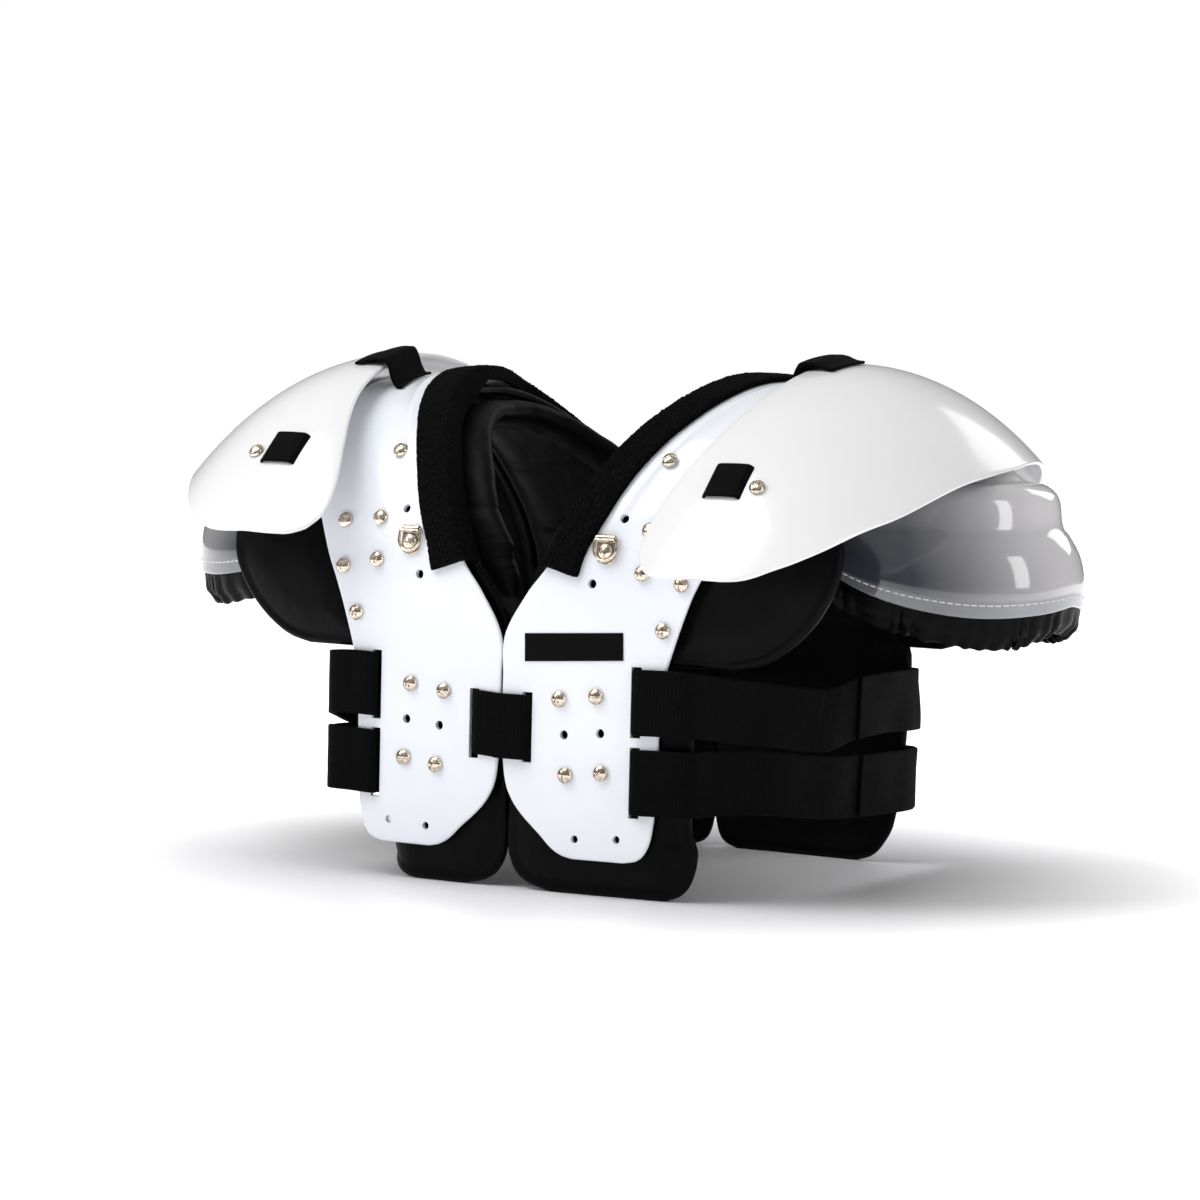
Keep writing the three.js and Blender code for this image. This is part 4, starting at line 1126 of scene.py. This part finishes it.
HEAD, SHANK, POST, FLAP_POST = 4.8, 2.2, 5.5, 4.5
FLAP_SCREW, KEEPER_LIFT = (173, -153), 1.25
SCREWS = {
    "upper": (92.3, 255.9), "mid_top_outer": (118, 213), "mid_top_inner": (92, 215),
    "mid_outer": (115.5, 184.7), "mid_inner": (90.5, 189.7), "mid_low": (104.8, 157.1),
    "chest_top_inner": (39.5, 114.2), "chest_top_outer": (63.5, 117.1),
    "chest_low_inner": (44.5, 70.2), "chest_low_outer": (67.6, 72.9),
}
RING_X, RING_Z, BAR, RING_OUT = 66.8, 201.1, 7.6, 2.85
nickel = Finish("nickel", Metallic=1.0)
tarnish = nickel.noise(420, 3)
nickel.feed(
    Base_Color=nickel.ramp(tarnish, (0.42, 0.35, 0.27), (0.82, 0.73, 0.62), 0.3, 0.65),
    Roughness=tarnish * 0.14 + 0.05,
    Normal=nickel.bump(nickel.noise(700, 2), 0.00005, 0.5),
)


def shell_axes(x, s):
    """Origin on the arch, and the directions off centre, up the run and outward."""
    y, z, ny, nz = spine(np.float64(s))
    return on_shell(x, s, 0.0), np.array([1.0, 0, 0]), np.array([0, nz, -ny]), np.array([0, ny, nz])


def screw(axes, lift, shank, turn_by, crossed):
    """Lathe of shank and domed head, r up to HEAD: 0.9 + 2.7 * (1 - (r / HEAD)^2)^0.6 high;
    one slot, or two crossed ones, sink into the dome."""
    low = lift + GAP
    below_dome = [0, SHANK, SHANK, HEAD - 0.35, HEAD, HEAD]
    radius = np.concatenate([below_dome, HEAD * np.linspace(0.985, 0, 22)])
    dome = low + 0.9 + 2.7 * np.maximum(1 - (radius / HEAD) ** 2, 0) ** 0.6
    height = np.concatenate([[-shank, -shank, low, low, low + 0.35, low + 0.9], dome[6:]])
    a = circle(60)
    x, y = radius[:, None] * np.cos(a), radius[:, None] * np.sin(a)
    reach = 2.5 if crossed else 4.4
    away = np.minimum(np.abs(x), np.abs(y)) if crossed else np.abs(x)
    slots = held((0.62 - away) / 0.25) * held((reach - np.hypot(x, y)) / 0.3)
    z = height[:, None] - 0.95 * slots * (np.arange(len(radius)) > 5)[:, None]
    c, s = np.cos(turn_by), np.sin(turn_by)
    return from_axes(axes, x * c - y * s, x * s + y * c, z)


chance = np.random.default_rng(7)
for side, sign in SIDES:
    slide = FLAP_SLIDE[side]
    places = {name: (shell_axes(x, run_at(z)), 0.0, POST) for name, (x, z) in SCREWS.items()}
    places["ring"] = (shell_axes(RING_X, run_at(RING_Z)), KEEPER_LIFT, POST)
    places["epaulet"] = (flap_axes(FLAP_SCREW[0], FLAP_SCREW[1] + slide), 0.0, FLAP_POST)
    for name, (axes, lift, shank) in places.items():
        rings = screw(axes, lift, shank, chance.uniform(0, np.pi), chance.uniform() < 0.5)
        node = f"screw_{name}_{side}"
        sealed(piece(f"{node}_head", wrapped(rings), nickel, [node], sign, sharp=30))


# Ring keepers and D-rings: a nickel tab under a screw, its end rolled round the
# straight bar of a wire ring that swings on it.

KEEPER_HALF, CURL_HALF, TIP_HALF, TAIL = 6.5, 6.25, 0.4, -7.5
WIRE, RING_HALF, BOW = 0.9, 7.3, 6
curl = np.radians(np.linspace(-75, 215, 26))
tongue = [(v, GAP + 0.45) for v in (TAIL, -7.3, -6.9, -6.2, -5.2, -4, -2.5, -1, 1, 3, 5)]
tongue += [(6.3, 0.9)] + [(BAR + 1.72 * np.cos(a), RING_OUT + 1.72 * np.sin(a)) for a in curl]
tongue = np.array(tongue)
tip = np.sqrt(held((tongue[:, 0] - TAIL) / 5))
half = np.where(tongue[:, 0] < -2.5, KEEPER_HALF * (1 - (1 - tip) ** 2), KEEPER_HALF)
half[12:] = CURL_HALF
half[0] = TIP_HALF
bow = [(-3, 0), (0, 0), (3, 0), (5.6, 0), (6.8, -0.45), (RING_HALF, -1.8)]
for a in np.linspace(0, np.pi, 15):
    bow.append((RING_HALF * np.cos(a), -BOW - RING_HALF * np.sin(a)))
bow += [(-RING_HALF, -1.8), (-6.8, -0.45), (-5.6, 0), (-3, 0)]
ring_line = threaded(bow, 110)[:-1]
for side, sign in SIDES:
    axes = shell_axes(RING_X, run_at(RING_Z))
    across = np.concatenate([[-1, -0.98, -0.93], np.linspace(-0.85, 0.85, 13), [0.93, 0.98, 1]])
    middle = from_axes(axes, half[:, None] * across, tongue[:, :1], tongue[:, 1:])
    tab = sheet(offset(middle), rounded(0.42, 0.3))
    piece(f"ring_keeper_{side}_tab", tab, nickel, [f"ring_keeper_{side}"], sign)
    ahead = unit(np.roll(ring_line, -1, axis=0) - np.roll(ring_line, 1, axis=0))
    a = circle(14)
    x = ring_line[:, :1] + ahead[:, 1:] * WIRE * np.cos(a)
    y = ring_line[:, 1:] - ahead[:, :1] * WIRE * np.cos(a) + BAR
    wire = wrapped(from_axes(axes, x, y, RING_OUT + WIRE * np.sin(a)), looped=True)
    piece(f"d_ring_{side}_wire", wire, nickel, [f"d_ring_{side}"], sign, body=f"ring_{side}")
